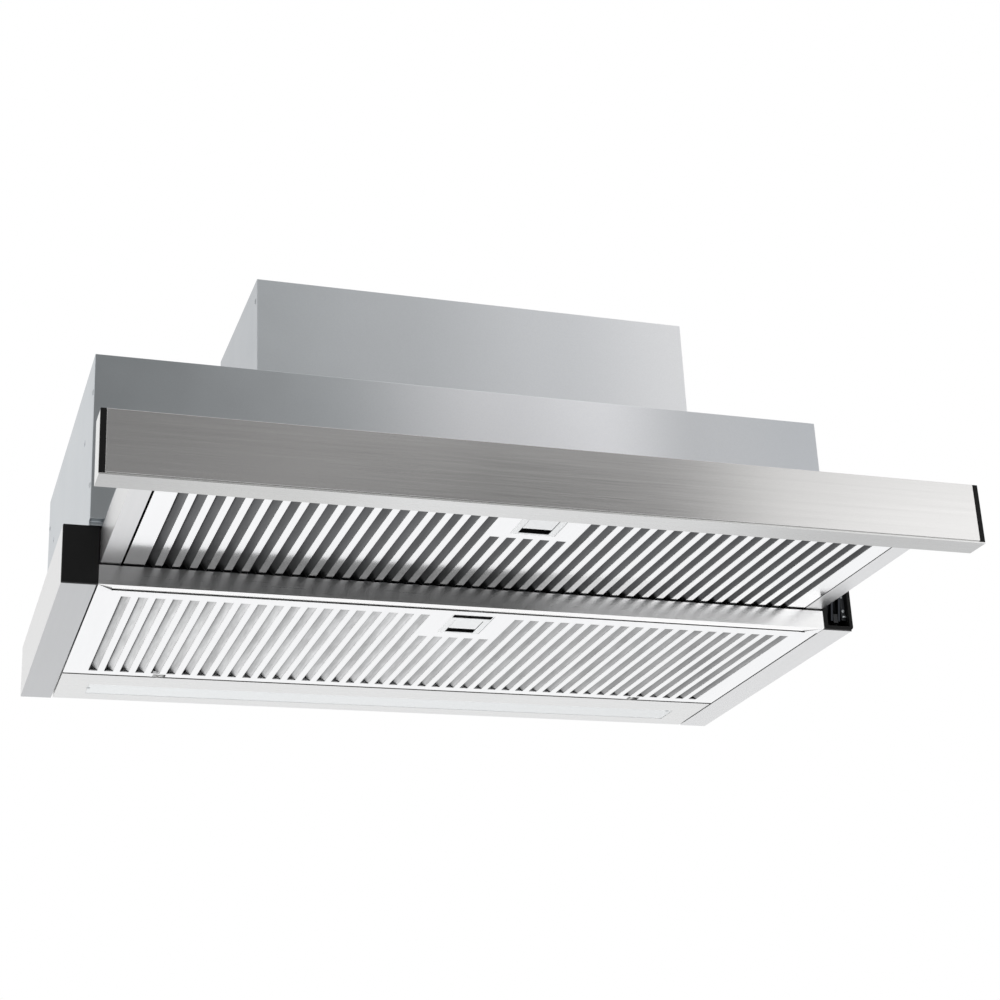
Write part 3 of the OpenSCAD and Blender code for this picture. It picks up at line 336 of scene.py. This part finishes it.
def mouldedPlastic(name, tone, setup):
    # injection moulded in a spark-eroded tool: a fine grain that breaks up the highlights
    material = emptyMaterial(name)
    tree = material.node_tree
    place = surfacePlace(tree)
    grain = addNode(tree, "ShaderNodeTexNoise", None,
                    {"Vector": place, "Scale": 1 / (setup["grainMm"] * mm), "Detail": 2.0, "Roughness": 0.6})
    colour = shadedTone(tree, place, tone, grain.outputs["Fac"], 0.12)
    bump = addNode(tree, "ShaderNodeBump", None,
                   {"Strength": setup["bump"], "Distance": 0.03 * mm, "Height": grain.outputs["Fac"]})
    shader = addNode(tree, "ShaderNodeBsdfPrincipled", None,
                     {"Base Color": colour, "Roughness": setup["roughness"], "IOR": 1.54,
                      "Specular IOR Level": setup.get("gloss", 0.5), "Normal": bump.outputs[0]})
    addNode(tree, "ShaderNodeOutputMaterial", None, {"Surface": shader.outputs[0]})
    return material


def expandedAluminium(name, tone, setup):
    # layers of slit and stretched foil: small bright diamonds over dark gaps
    material = emptyMaterial(name)
    tree = material.node_tree
    place = surfacePlace(tree)
    scale = (1 / (setup["diamondMm"] * mm), 0.55 / (setup["diamondMm"] * mm), 1 / (setup["diamondMm"] * mm))
    stretched = addNode(tree, "ShaderNodeMapping", None, {"Vector": place, "Scale": scale})
    cells = addNode(tree, "ShaderNodeTexVoronoi", {"feature": "DISTANCE_TO_EDGE"},
                    {"Vector": stretched.outputs[0], "Scale": 1.0, "Randomness": 0.35})
    strand = addNode(tree, "ShaderNodeMapRange", None,
                     {"Value": cells.outputs["Distance"], "From Min": 0.05, "From Max": 0.2,
                      "To Min": 1.0, "To Max": 0.16})
    colour = addNode(tree, "ShaderNodeMix", {"data_type": "RGBA", "blend_type": "MULTIPLY"},
                     {0: 1.0, 6: hexToLinear(tone), 7: strand.outputs[0]})
    bump = addNode(tree, "ShaderNodeBump", None,
                   {"Strength": 0.8, "Distance": 0.4 * mm, "Height": strand.outputs[0]})
    metalSurface(tree, colour.outputs[2], 0.42, bump.outputs[0])
    return material


# painted reflection: tones at places in millimetres along x paint what a long sheet mirrors from end to end
frameBrushing = {"streakMm": 40, "grainMm": 0.6, "contrast": 0.06, "roughness": 0.28, "bump": 0.08}
profileBrushing = {**frameBrushing, "roughness": 0.33}
louvreBrushing = {"streakMm": 14, "grainMm": 0.9, "contrast": 0.5, "roughness": 0.3, "bump": 0.2,
                  "bandShare": 0.6}
steelPanel = brushedSteel("brushedStainlessPanel",
                          {"X": [(-299, "#d9d8d7"), (-180, "#d8d7d6"), (-110, "#d2d1d0"), (-49, "#c8c7c6"),
                                 (52, "#cac9c8"), (160, "#e2e1e0"), (299, "#e6e5e4")]},
                          0, {"streakMm": 55, "grainMm": 0.4, "contrast": 0.1, "roughness": 0.2,
                              "bump": 0.12})
steelFrame = brushedSteel("brushedStainlessFrame", "#e4e4e3", 0, frameBrushing)
steelLip = brushedSteel("brushedStainlessLip",
                        {"X": [(-299, "#bdbdbc"), (-198, "#ccccca"), (-90, "#dddddc"), (60, "#d6d6d5"),
                               (200, "#bebebd"), (299, "#c2c2c1")]},
                        0, frameBrushing)
steelBeam = brushedSteel("brushedStainlessBeam",
                         {"X": [(-274, "#b6b6b6"), (-120, "#acacac"), (10, "#9c9c9c"), (90, "#eeeeee"),
                                (160, "#ffffff"), (274, "#ffffff")]},
                         0, {**frameBrushing, "roughness": 0.3})
# painted shade and light: one brushed steel as a darker copy for the left profile and a lighter copy for the
# right profile, the rails and the left profile's outer wall
shadedProfileSteel = brushedSteel("brushedStainlessLeftProfile", "#c1c2c3", 1, profileBrushing)
litProfileSteel = brushedSteel("brushedStainlessRightProfile", "#e0e0e0", 1, profileBrushing)
steelFilter = brushedSteel("rolledStainlessFilter", "#fdfdfd", 1,
                           {"streakMm": 25, "grainMm": 0.6, "contrast": 0.04, "roughness": 0.14,
                            "bump": 0.04})
# painted shade: a louvre darkens from its root at the bar to its tip inside the filter, and from left to
# right
louvreSteel = brushedSteel("pressedStainlessLouvre",
                           {"Z": [(1.0, "#f6f6f6"), (2.8, "#dfe0e0"), (3.9, "#b4b5b6"), (4.7, "#4c4d4e")],
                            "X": [(-274, "#ffffff"), (-60, "#f0f0f0"), (90, "#cccccc"), (274, "#a6a6a6")]},
                           1, louvreBrushing)
# painted shade: the drawer's louvres, darker still than the fixed filter's
shadedLouvreSteel = brushedSteel("shadePaintedStainlessLouvre",
                                 {"Z": [(15.6, "#6c6d6e"), (17.0, "#5d5e60"),
                                        (18.4, "#4b4c4e"), (20.0, "#323334")],
                                  "X": [(-274, "#ffffff"), (60, "#eeeeee"), (274, "#cecece")]},
                                 1, louvreBrushing)
# painted shade: dark steel for the inside of the drawer
shadedSteel = brushedSteel("shadePaintedStainlessInside", "#57585a", 1,
                           {"streakMm": 30, "grainMm": 0.7, "contrast": 0.2, "roughness": 0.4, "bump": 0.1})
zincSheet = galvanisedSteel("galvanisedSheet", "#bfc4c8",
                            {"cloudMm": 60, "speckMm": 1.4, "contrast": 0.07, "roughness": 0.33})
# painted shade: a darker copy of the galvanised sheet for the box's sides
shadedZincBoxSide = galvanisedSteel("galvanisedBoxSide", "#b2b6ba",
                              {"cloudMm": 60, "speckMm": 1.4, "contrast": 0.07, "roughness": 0.33})
# painted reflection: the upper front sheet's and the box's tones along x paint what they mirror from end to
# end
zincFront = galvanisedSteel("galvanisedFrontSheet",
                            {"X": [(-282, "#b7bcbf"), (-135, "#c4c8cb"), (18, "#ecedf0"), (98, "#f6f7fa"),
                                   (182, "#d1d3d6"), (282, "#c7cace")]},
                            {"cloudMm": 60, "speckMm": 1.0, "contrast": 0.06, "roughness": 0.3})
zincBox = galvanisedSteel("galvanisedBoxSheet",
                          {"X": [(-155, "#cdd1d4"), (-42, "#d3d6d9"), (83, "#e3e5e8"), (199, "#f3f4f6")]},
                          {"cloudMm": 60, "speckMm": 1.0, "contrast": 0.06, "roughness": 0.4})
zincPlated = galvanisedSteel("zincPlatedSteel", "#c2c6c8",
                             {"cloudMm": 12, "speckMm": 0.8, "contrast": 0.12, "roughness": 0.33})
bluedSteel = galvanisedSteel("bluedSpringSteel", "#3b3d42",
                             {"cloudMm": 8, "speckMm": 0.6, "contrast": 0.2, "roughness": 0.4})
foilMesh = expandedAluminium("expandedAluminiumMesh", "#b7b9bb", {"diamondMm": 3.0})
blackPlastic = mouldedPlastic("mouldedBlackAbs", "#0b0b0b",
                              {"grainMm": 0.5, "bump": 0.25, "roughness": 0.6, "gloss": 0.2})
darkPlastic = mouldedPlastic("mouldedGreyPolypropylene", "#2b2d30",
                             {"grainMm": 0.6, "bump": 0.3, "roughness": 0.5, "gloss": 0.35})
palePlastic = mouldedPlastic("mouldedWhiteAcetal", "#e8e8e4", {"grainMm": 0.6, "bump": 0.2, "roughness": 0.4})
greyPlastic = mouldedPlastic("mouldedPaleGreyAbs", "#d8d9d9",
                             {"grainMm": 0.5, "bump": 0.12, "roughness": 0.4})
# painted shade: the latches' wells in near black
shadePaintedWell = mouldedPlastic("shadePaintedLatchWell", "#0a0a0a",
                             {"grainMm": 0.5, "bump": 0.15, "roughness": 0.6, "gloss": 0.15})
opalPlastic = mouldedPlastic("extrudedOpalAcrylic", "#cccece",
                             {"grainMm": 1.0, "bump": 0.04, "roughness": 0.3})
boardResin = mouldedPlastic("whiteSolderMaskBoard", "#dfe2df",
                            {"grainMm": 0.8, "bump": 0.1, "roughness": 0.45})

finishes = {
    "panel_stainless": steelPanel,
    "frame_stainless": steelFrame,
    "filter_stainless": steelFilter,
    "galvanised_sheet": zincSheet,
    "slide_steel": zincPlated,
    "filter_mesh": foilMesh,
    "latch_grey": greyPlastic,
    "spring_steel": bluedSteel,
    "black_plastic": blackPlastic,
    "dark_plastic": darkPlastic,
    "white_plastic": palePlastic,
    "opal_diffuser": opalPlastic,
    "circuit_board": boardResin,
    "motor_steel": zincPlated,
    "shaft_steel": zincPlated,
}
ownFinish = {
    "side_profile_left": shadedProfileSteel, "drawer_rail_left": litProfileSteel,
    "side_profile_right": litProfileSteel, "drawer_rail_right": litProfileSteel,
    "box_side_left": shadedZincBoxSide, "box_side_right": shadedZincBoxSide,
    "upper_front_sheet": zincFront, "box_front_sheet": zincBox, "front_beam": steelBeam,
}
finishOf = {name: ownFinish.get(name, finishes[slot]) for name, slot in slotOf.items()}
for name, node in nodes.items():
    node.data.materials.clear()
    node.data.materials.append(finishOf[name])
print("materials ready")

# the small radius that folding, cutting or moulding leaves on each piece's edges, in millimetres
edgeRadiusMm = {
    "panel_face": 0.35, "panel_carrier": 0.45, "panel_end_strips": 0.3,
    "side_profile_left": 0.45, "side_profile_right": 0.45, "end_cap_left": 0.5, "end_frame_right": 0.35,
    "upper_front_sheet": 0.45, "side_wall_left": 0.4, "side_wall_right": 0.4, "back_wall": 0.4,
    "upper_top_plate": 0.35, "box_front_sheet": 0.45, "box_side_left": 0.4, "box_side_right": 0.4,
    "box_back_sheet": 0.4, "box_top_plate": 0.35, "light_housing": 0.35, "drawer_cover": 0.35,
    "drawer_front_rail": 0.4, "drawer_rail_left": 0.4, "drawer_rail_right": 0.4, "drawer_rear_rail": 0.4,
    "track_left": 0.35, "track_right": 0.35, "runner_left": 0.5, "runner_right": 0.5,
    "fixed_filter_face": 0.22, "drawer_filter_face": 0.22, "fixed_latch_housing": 0.3,
    "drawer_latch_housing": 0.3, "fixed_latch_slider": 0.35, "drawer_latch_slider": 0.35,
    "fixed_latch_spring": 0.1, "drawer_latch_spring": 0.1,
    "button_bar": 0.3, "button_off": 0.3, "button_low": 0.3, "button_high": 0.3, "button_light": 0.3,
    "outlet_collar": 0.5, "flap_front": 0.25, "flap_rear": 0.25, "terminal_box": 1.2, "control_box": 1.2,
    "motor_body": 1.0, "motor_bracket": 0.4, "motor_shaft": 0.4, "scroll_left": 0.5, "scroll_right": 0.5,
    "fan_wheel": 0.3, "micro_switch": 0.4, "switch_lever": 0.2, "light_diffuser": 0.4,
}


rounding = {"mergeMm": 0.002, "flatDegrees": 1.0, "sharpDegrees": 35}


def cleanCopy(name):
    # the node's own shape with its flat faces whole again, ready to have its edges rounded
    mesh = bmesh.new()
    mesh.from_mesh(nodes[name].data)
    bmesh.ops.remove_doubles(mesh, verts=mesh.verts, dist=rounding["mergeMm"] * mm)
    bmesh.ops.dissolve_limit(mesh, angle_limit=math.radians(rounding["flatDegrees"]), verts=mesh.verts,
                             edges=mesh.edges, delimit={"NORMAL"})
    return mesh


def finishPiece(mesh, title, body, materials):
    data = bpy.data.meshes.new(title)
    mesh.to_mesh(data)
    mesh.free()
    for material in materials:
        data.materials.append(material)
    piece = bpy.data.objects.new(title, data)
    scene.collection.objects.link(piece)
    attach(piece, body)
    return piece


def bakeModifiers(piece):
    graph = bpy.context.evaluated_depsgraph_get()
    data = bpy.data.meshes.new_from_object(piece.evaluated_get(graph))
    piece.modifiers.clear()
    piece.data = data


def roundEdges(piece, radiusMm):
    bevel = piece.modifiers.new("radius", "BEVEL")
    bevel.width = radiusMm * mm
    bevel.segments = 2
    bevel.limit_method = "ANGLE"
    bevel.angle_limit = math.radians(rounding["sharpDegrees"])
    bevel.use_clamp_overlap = True
    level = piece.modifiers.new("level", "WEIGHTED_NORMAL")
    level.mode = "FACE_AREA"
    level.weight = 100
    piece.data.shade_smooth()
    bakeModifiers(piece)


def roundedNode(name, radiusMm):
    piece = finishPiece(cleanCopy(name), "rounded_" + name, bodyOf[name], [finishOf[name]])
    roundEdges(piece, radiusMm)
    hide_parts(name)
    return piece


rounded = {name: roundedNode(name, radius) for name, radius in edgeRadiusMm.items()}
print("edges rounded on", len(rounded), "pieces")

frontBeam = {
    "sheetMm": 1.0,
    "hemMm": 8.0,
    "riseMm": 1.2,  # how far the flange climbs to the filter
    "radiusMm": 0.4,
    "mitreGapMm": 0.12,
    "endShare": 1.2,  # how far the flange still reaches at its ends, in sheet thicknesses
}


def foldedBeam(setup):
    # one sheet folded to a front, a hem on top and a flange below, with mitred ends beside flat corners
    low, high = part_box("front_beam")
    sheet, hem, gap = setup["sheetMm"] * mm, setup["hemMm"] * mm, setup["mitreGapMm"] * mm
    flange, height = high.y - low.y, high.z - low.z
    slope = setup["riseMm"] * mm / flange

    def station(x, reach):
        outline = [(0, 0), (reach, reach * slope), (reach, reach * slope + sheet),
                   (sheet, sheet * (1 + slope)),
                   (sheet, height - sheet), (hem, height - sheet), (hem, height), (0, height)]
        return [mesh.verts.new((x, low.y + y, low.z + z)) for y, z in outline]

    mesh = bmesh.new()
    shortReach = sheet * setup["endShare"]
    rows = [station(low.x, shortReach), station(low.x + flange, flange),
            station(high.x - flange, flange), station(high.x, shortReach)]
    for row, other in zip(rows, rows[1:]):
        for k in range(len(row)):
            mesh.faces.new((row[k], other[k], other[(k + 1) % len(row)], row[(k + 1) % len(row)]))
    mesh.faces.new(rows[0])
    mesh.faces.new(reversed(rows[-1]))
    for side, edge in ((1, low.x), (-1, high.x)):
        corner = [(edge, shortReach + gap), (edge, flange),
                  (edge + side * (flange - gap - shortReach), flange)]
        foot = [mesh.verts.new((x, low.y + y, low.z)) for x, y in corner]
        top = [mesh.verts.new((x, low.y + y, low.z + sheet)) for x, y in corner]
        mesh.faces.new(foot)
        mesh.faces.new(reversed(top))
        for k in range(3):
            mesh.faces.new((foot[k], foot[(k + 1) % 3], top[(k + 1) % 3], top[k]))
    bmesh.ops.recalc_face_normals(mesh, faces=mesh.faces)
    piece = finishPiece(mesh, "folded_front_beam", bodyOf["front_beam"], [steelBeam])
    roundEdges(piece, setup["radiusMm"])
    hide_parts("front_beam")
    return piece


beam = foldedBeam(frontBeam)


def shadeInside(piece, material, test):
    piece.data.materials.append(material)
    index = len(piece.data.materials) - 1
    for face in piece.data.polygons:
        if test(face.center, face.normal):
            face.material_index = index


shading = {
    "rimMm": 2,  # the filters' outer edges keep their bright steel
    "louvreStartMm": 0.45,
    "wellStartMm": 0.5,
    "railFloorMm": 1.5,
    "squarely": 0.7,  # how closely a face looks along an axis to count as facing that way
}


def behindFace(name):
    low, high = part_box(name)
    rim, level = shading["rimMm"] * mm, low.z + shading["louvreStartMm"] * mm

    def test(centre, normal):
        inRim = (centre.x - low.x > rim and high.x - centre.x > rim
                 and centre.y - low.y > rim and high.y - centre.y > rim)
        return inRim and centre.z > level
    return test


def facesDown(centre, normal):
    return normal.z < -shading["squarely"]


# painted shade: bright bars, duller louvres in their slots, and dark wells in the latches
shadeInside(rounded["fixed_filter_face"], louvreSteel, behindFace("fixed_filter_face"))
shadeInside(rounded["drawer_filter_face"], shadedLouvreSteel, behindFace("drawer_filter_face"))
for name in ("fixed_latch_housing", "drawer_latch_housing"):
    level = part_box(name)[0].z + shading["wellStartMm"] * mm
    shadeInside(rounded[name], shadePaintedWell, lambda centre, normal, level=level: centre.z > level)
# painted light: the flange below, the panel's lip and the profile's outer wall get steel tones for the room's
# light they catch
shadeInside(beam, steelFilter, facesDown)
shadeInside(rounded["panel_carrier"], steelLip, facesDown)
shadeInside(rounded["side_profile_left"], litProfileSteel, lambda centre, normal: normal.x < -shading["squarely"])
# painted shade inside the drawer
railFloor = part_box("drawer_rail_left")[0].z + shading["railFloorMm"] * mm
shadeInside(rounded["drawer_cover"], shadedSteel, facesDown)
for name, side in (("drawer_rail_left", 1), ("drawer_rail_right", -1)):
    shadeInside(rounded[name], shadedSteel, lambda centre, normal, side=side:
                normal.x * side > shading["squarely"] and centre.z > railFloor)
print("beam, filters and latches ready")

latchSprings = {
    "fixed_latch_spring": "fixed_latch_slide",
    "drawer_latch_spring": "drawer_latch_slide",
}

for name, joint in latchSprings.items():
    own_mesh(rounded[name])

meshPad = {"cellMm": 4.0, "waveMm": 0.3, "clearMm": 4.0}


def expandedPad(name, latch, setup):
    # a pad of stretched foil: a wavy sheet with the latch's place left open
    low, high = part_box(name)
    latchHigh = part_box(latch)[1]
    clear, wave = setup["clearMm"] * mm, setup["waveMm"] * mm
    across = 2 * round((high.x - low.x) / (2 * setup["cellMm"] * mm))
    along = round((high.y - low.y) / (setup["cellMm"] * mm))
    stepX, stepY = (high.x - low.x) / across, (high.y - low.y) / along
    mesh = bmesh.new()
    rows = [[mesh.verts.new((low.x + i * stepX, low.y + j * stepY,
                             high.z - wave + (wave if (i + j) % 2 else 0)))
             for i in range(across + 1)] for j in range(along + 1)]
    sheet = []
    for j in range(along):
        for i in range(across):
            inLatch = (abs(low.x + (i + 0.5) * stepX) < latchHigh.x + clear
                       and low.y + (j + 0.5) * stepY < latchHigh.y + clear)
            if not inLatch:
                cell = (rows[j][i], rows[j][i + 1], rows[j + 1][i + 1], rows[j + 1][i])
                sheet.append(mesh.faces.new(cell))
    spare = [v for v in mesh.verts if not v.link_faces]
    bmesh.ops.delete(mesh, geom=spare, context="VERTS")
    under = bmesh.ops.extrude_face_region(mesh, geom=sheet)
    moved = [item for item in under["geom"] if isinstance(item, bmesh.types.BMVert)]
    bmesh.ops.translate(mesh, verts=moved, vec=(0, 0, low.z - high.z + wave))
    bmesh.ops.recalc_face_normals(mesh, faces=mesh.faces)
    piece = finishPiece(mesh, "expanded_" + name, bodyOf[name], [foilMesh])
    piece.data.shade_smooth()
    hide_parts(name)


expandedPad("fixed_filter_mesh", "fixed_latch_housing", meshPad)
expandedPad("drawer_filter_mesh", "drawer_latch_housing", meshPad)


def turnedRings(mesh, place, facing, profile, shape, closed, segments=32):
    # rings of points about a line through place
    # profile holds (radius, height) pairs, and shape bends each point
    turn = Vector(facing).to_track_quat("Z", "Y").to_matrix()

    def ring(radius, height):
        points = []
        for k in range(segments):
            angle = 2 * math.pi * k / segments
            r, h = shape(radius, height, angle)
            offset = turn @ Vector((r * math.cos(angle), r * math.sin(angle), h))
            points.append(mesh.verts.new(Vector(place) + offset))
        return points

    rings = [ring(radius, height) for radius, height in profile]
    pairs = list(zip(rings, rings[1:])) + ([(rings[-1], rings[0])] if closed else [])
    for ringA, ringB in pairs:
        for k in range(segments):
            mesh.faces.new((ringA[k], ringB[k], ringB[(k + 1) % segments], ringA[(k + 1) % segments]))
    return rings


screwHeads = {
    "recessHalfMm": 0.32, "recessReachMm": 1.25, "recessDeepMm": 0.3,
    # shares of the radius and the height of a pan head
    "dome": [(0.15, 1.0), (0.52, 0.98), (0.6, 0.95), (0.8, 0.75), (0.94, 0.42), (1.0, 0.0)],
    # shares of the radius on a countersunk head's flat face
    "sunkFace": (0.15, 0.6, 0.68, 0.97),
    "sunkHeadMm": 1.1, "sunkRimMm": 0.1, "shankMm": 1.3, "pointMm": 0.6, "pointShare": 0.4,
    "seatInMm": 0.05,  # how far a small head sits in its sheet
}


def crossRecess(radius, height, angle):
    nearArm = radius * min(abs(math.sin(angle)), abs(math.cos(angle))) < screwHeads["recessHalfMm"] * mm
    inCross = nearArm and radius < screwHeads["recessReachMm"] * mm and height >= 0
    return radius, height - (screwHeads["recessDeepMm"] * mm if inCross else 0)


def screwBody(mesh, place, facing, profile):
    rings = turnedRings(mesh, place, facing, profile, crossRecess, False)
    mesh.faces.new(rings[0])
    mesh.faces.new(reversed(rings[-1]))


def panHead(mesh, place, facing, radius, height):
    # a pan head that stands on the sheet at place
    profile = [(share * radius, rise * height) for share, rise in screwHeads["dome"]]
    screwBody(mesh, place, facing, profile)


def sunkScrew(mesh, top, radius, length):
    # a countersunk screw: flat head, cone, shank and blunt point
    head, rim = screwHeads["sunkHeadMm"] * mm, screwHeads["sunkRimMm"] * mm
    shank, point = screwHeads["shankMm"] * mm, screwHeads["pointMm"] * mm
    face = [(radius * share, 0) for share in screwHeads["sunkFace"]]
    body = [(radius, -rim), (shank, -head), (shank, point - length),
            (shank * screwHeads["pointShare"], -length)]
    screwBody(mesh, top, (0, 0, 1), face + body)


def loosePieces(name):
    # the box round each separate solid of a node
    mesh = cleanCopy(name)
    boxes, left = [], set(mesh.verts)
    while left:
        group, reached = set(), [left.pop()]
        while reached:
            vert = reached.pop()
            group.add(vert)
            for edge in vert.link_edges:
                other = edge.other_vert(vert)
                if other in left:
                    left.remove(other)
                    reached.append(other)
        boxes.append([Vector([pick(vert.co[i] for vert in group) for i in range(3)])
                      for pick in (min, max)])
    mesh.free()
    return sorted(boxes, key=lambda box: tuple(box[0]))


def buildScrews():
    mesh = bmesh.new()
    for low, high in loosePieces("sheet_screws"):
        middle, size = (low + high) / 2, high - low
        # a pan head on a side wall is round and thin along x, and the collar's screws stand upright
        if size.x < size.z < size.y * 1.1:
            side = 1 if middle.x > 0 else -1
            seat = (middle.x - side * size.x / 2, middle.y, middle.z)
            panHead(mesh, seat, (side, 0, 0), size.y / 2, size.x)
        else:
            sunkScrew(mesh, (middle.x, middle.y, high.z), size.x / 2, size.z)
    bmesh.ops.recalc_face_normals(mesh, faces=mesh.faces)
    piece = finishPiece(mesh, "cross_head_screws", bodyOf["sheet_screws"],
                        [finishOf["sheet_screws"]])
    piece.data.shade_smooth()
    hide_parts("sheet_screws")


buildScrews()
print("screws ready")

cableGland = {
    "boreMm": 3.6,  # radius
    "seatRadiusMm": 5.9, "seatMm": 4.0,  # the neck in the box's wall
    "nutMm": 3.5, "nutCornerMm": 0.01,  # length of the six-sided nut against the box
    # the dome nut: shares of the outer radius, and lengths from the nut or from the mouth
    "domeShare": 0.84, "domeStepMm": 0.2,
    "taperShare": 0.8, "taperMm": 2.2, "lipMm": 0.9, "mouthShare": 0.66,
    "ridgeMm": 0.4, "ridges": 16,
    "points": 96,
}


def buildGland(setup):
    # a gland with a six-sided nut and a ridged dome nut
    low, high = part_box("cable_gland")
    outer = (high.y - low.y) / 2
    middle = (low + high) / 2
    length = high.x - low.x
    seatRadius, seat, nut, bore = [setup[key] * mm for key in ("seatRadiusMm", "seatMm", "nutMm", "boreMm")]
    ridge, nutCorner, domeStep = [setup[key] * mm for key in ("ridgeMm", "nutCornerMm", "domeStepMm")]
    dome, nutEnd = outer * setup["domeShare"], seat + nut
    flat = outer * math.cos(math.radians(30))

    def bend(radius, height, angle):
        if radius > flat:
            corner = (angle + math.radians(30)) % math.radians(60) - math.radians(30)
            return min(radius, flat / math.cos(corner)), height
        if radius > outer * setup["mouthShare"]:
            return radius - (ridge if math.sin(angle * setup["ridges"]) > 0 else 0), height
        return radius, height

    profile = [(bore, 0), (seatRadius, 0), (seatRadius, seat), (outer, seat + nutCorner), (outer, nutEnd),
               (dome, nutEnd + domeStep), (dome, length - setup["taperMm"] * mm),
               (outer * setup["taperShare"], length - setup["lipMm"] * mm),
               (outer * setup["mouthShare"], length), (bore, length)]
    mesh = bmesh.new()
    turnedRings(mesh, (high.x, middle.y, middle.z), (-1, 0, 0), profile, bend, True, setup["points"])
    bmesh.ops.recalc_face_normals(mesh, faces=mesh.faces)
    piece = finishPiece(mesh, "ridged_cable_gland", bodyOf["cable_gland"],
                        [blackPlastic])
    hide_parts("cable_gland")


buildGland(cableGland)

smallMarks = {
    "boxScrewMm": 1.6, "boxScrewInMm": 6.0, "boxScrewHighMm": 0.7,
    "lightScrewsMm": [(-249.5, 205.5), (245.3, 195.8)],
    "lightScrewMm": 1.5, "lightScrewHighMm": 0.35,
}


def buildSmallMarks(setup):
    # lid screws of the terminal box, and two small screws under the light
    seatIn = screwHeads["seatInMm"] * mm
    low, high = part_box("terminal_box")
    lid = bmesh.new()
    inset, radius, rise = [setup[key] * mm for key in ("boxScrewInMm", "boxScrewMm", "boxScrewHighMm")]
    for x in (low.x + inset, high.x - inset):
        for y in (low.y + inset, high.y - inset):
            panHead(lid, (x, y, high.z - seatIn), (0, 0, 1), radius, rise)
    bmesh.ops.recalc_face_normals(lid, faces=lid.faces)
    finishPiece(lid, "lid_screws", bodyOf["terminal_box"],
                [zincPlated]).data.shade_smooth()
    under = bmesh.new()
    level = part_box("light_housing")[0].z
    for x, y in setup["lightScrewsMm"]:
        panHead(under, (x * mm, y * mm, level + seatIn), (0, 0, -1), setup["lightScrewMm"] * mm,
                setup["lightScrewHighMm"] * mm)
    bmesh.ops.recalc_face_normals(under, faces=under.faces)
    finishPiece(under, "light_screws", bodyOf["light_housing"],
                [zincPlated]).data.shade_smooth()


buildSmallMarks(smallMarks)

switchBracket = {
    "plateMm": ((292.4, 295.8), (-41.2, -40.0), (9.0, 33.0)),
    "pinsMm": [(293.7, 28.2), (294.2, 16.5)],
    "pinRadiusMm": 1.4, "pinHighMm": 0.6,
    "clipMm": ((292.7, 296.4), (-42.4, -41.2), (11.0, 12.4)),
    "plateEdgeMm": 0.2, "clipEdgeMm": 0.3,
}


def boxSolid(mesh, spans):
    low, high = [Vector([span[end] * mm for span in spans]) for end in (0, 1)]
    place = Matrix.LocRotScale((low + high) / 2, None, high - low)
    bmesh.ops.create_cube(mesh, size=1.0, matrix=place)


def buildSwitchBracket(setup):
    # beside the switch, inside the open end piece: its bracket with two pin heads and a wire clip
    body = bodyOf["micro_switch"]
    plate = bmesh.new()
    boxSolid(plate, setup["plateMm"])
    roundEdges(finishPiece(plate, "switch_bracket", body, [darkPlastic]),
               setup["plateEdgeMm"])
    clip = bmesh.new()
    boxSolid(clip, setup["clipMm"])
    roundEdges(finishPiece(clip, "switch_clip", body, [zincPlated]),
               setup["clipEdgeMm"])
    front = setup["plateMm"][1][0] * mm + screwHeads["seatInMm"] * mm
    pins = bmesh.new()
    for x, z in setup["pinsMm"]:
        panHead(pins, (x * mm, front, z * mm), (0, -1, 0), setup["pinRadiusMm"] * mm, setup["pinHighMm"] * mm)
    bmesh.ops.recalc_face_normals(pins, faces=pins.faces)
    finishPiece(pins, "switch_pins", body, [zincPlated]).data.shade_smooth()


buildSwitchBracket(switchBracket)
print("small pieces ready")
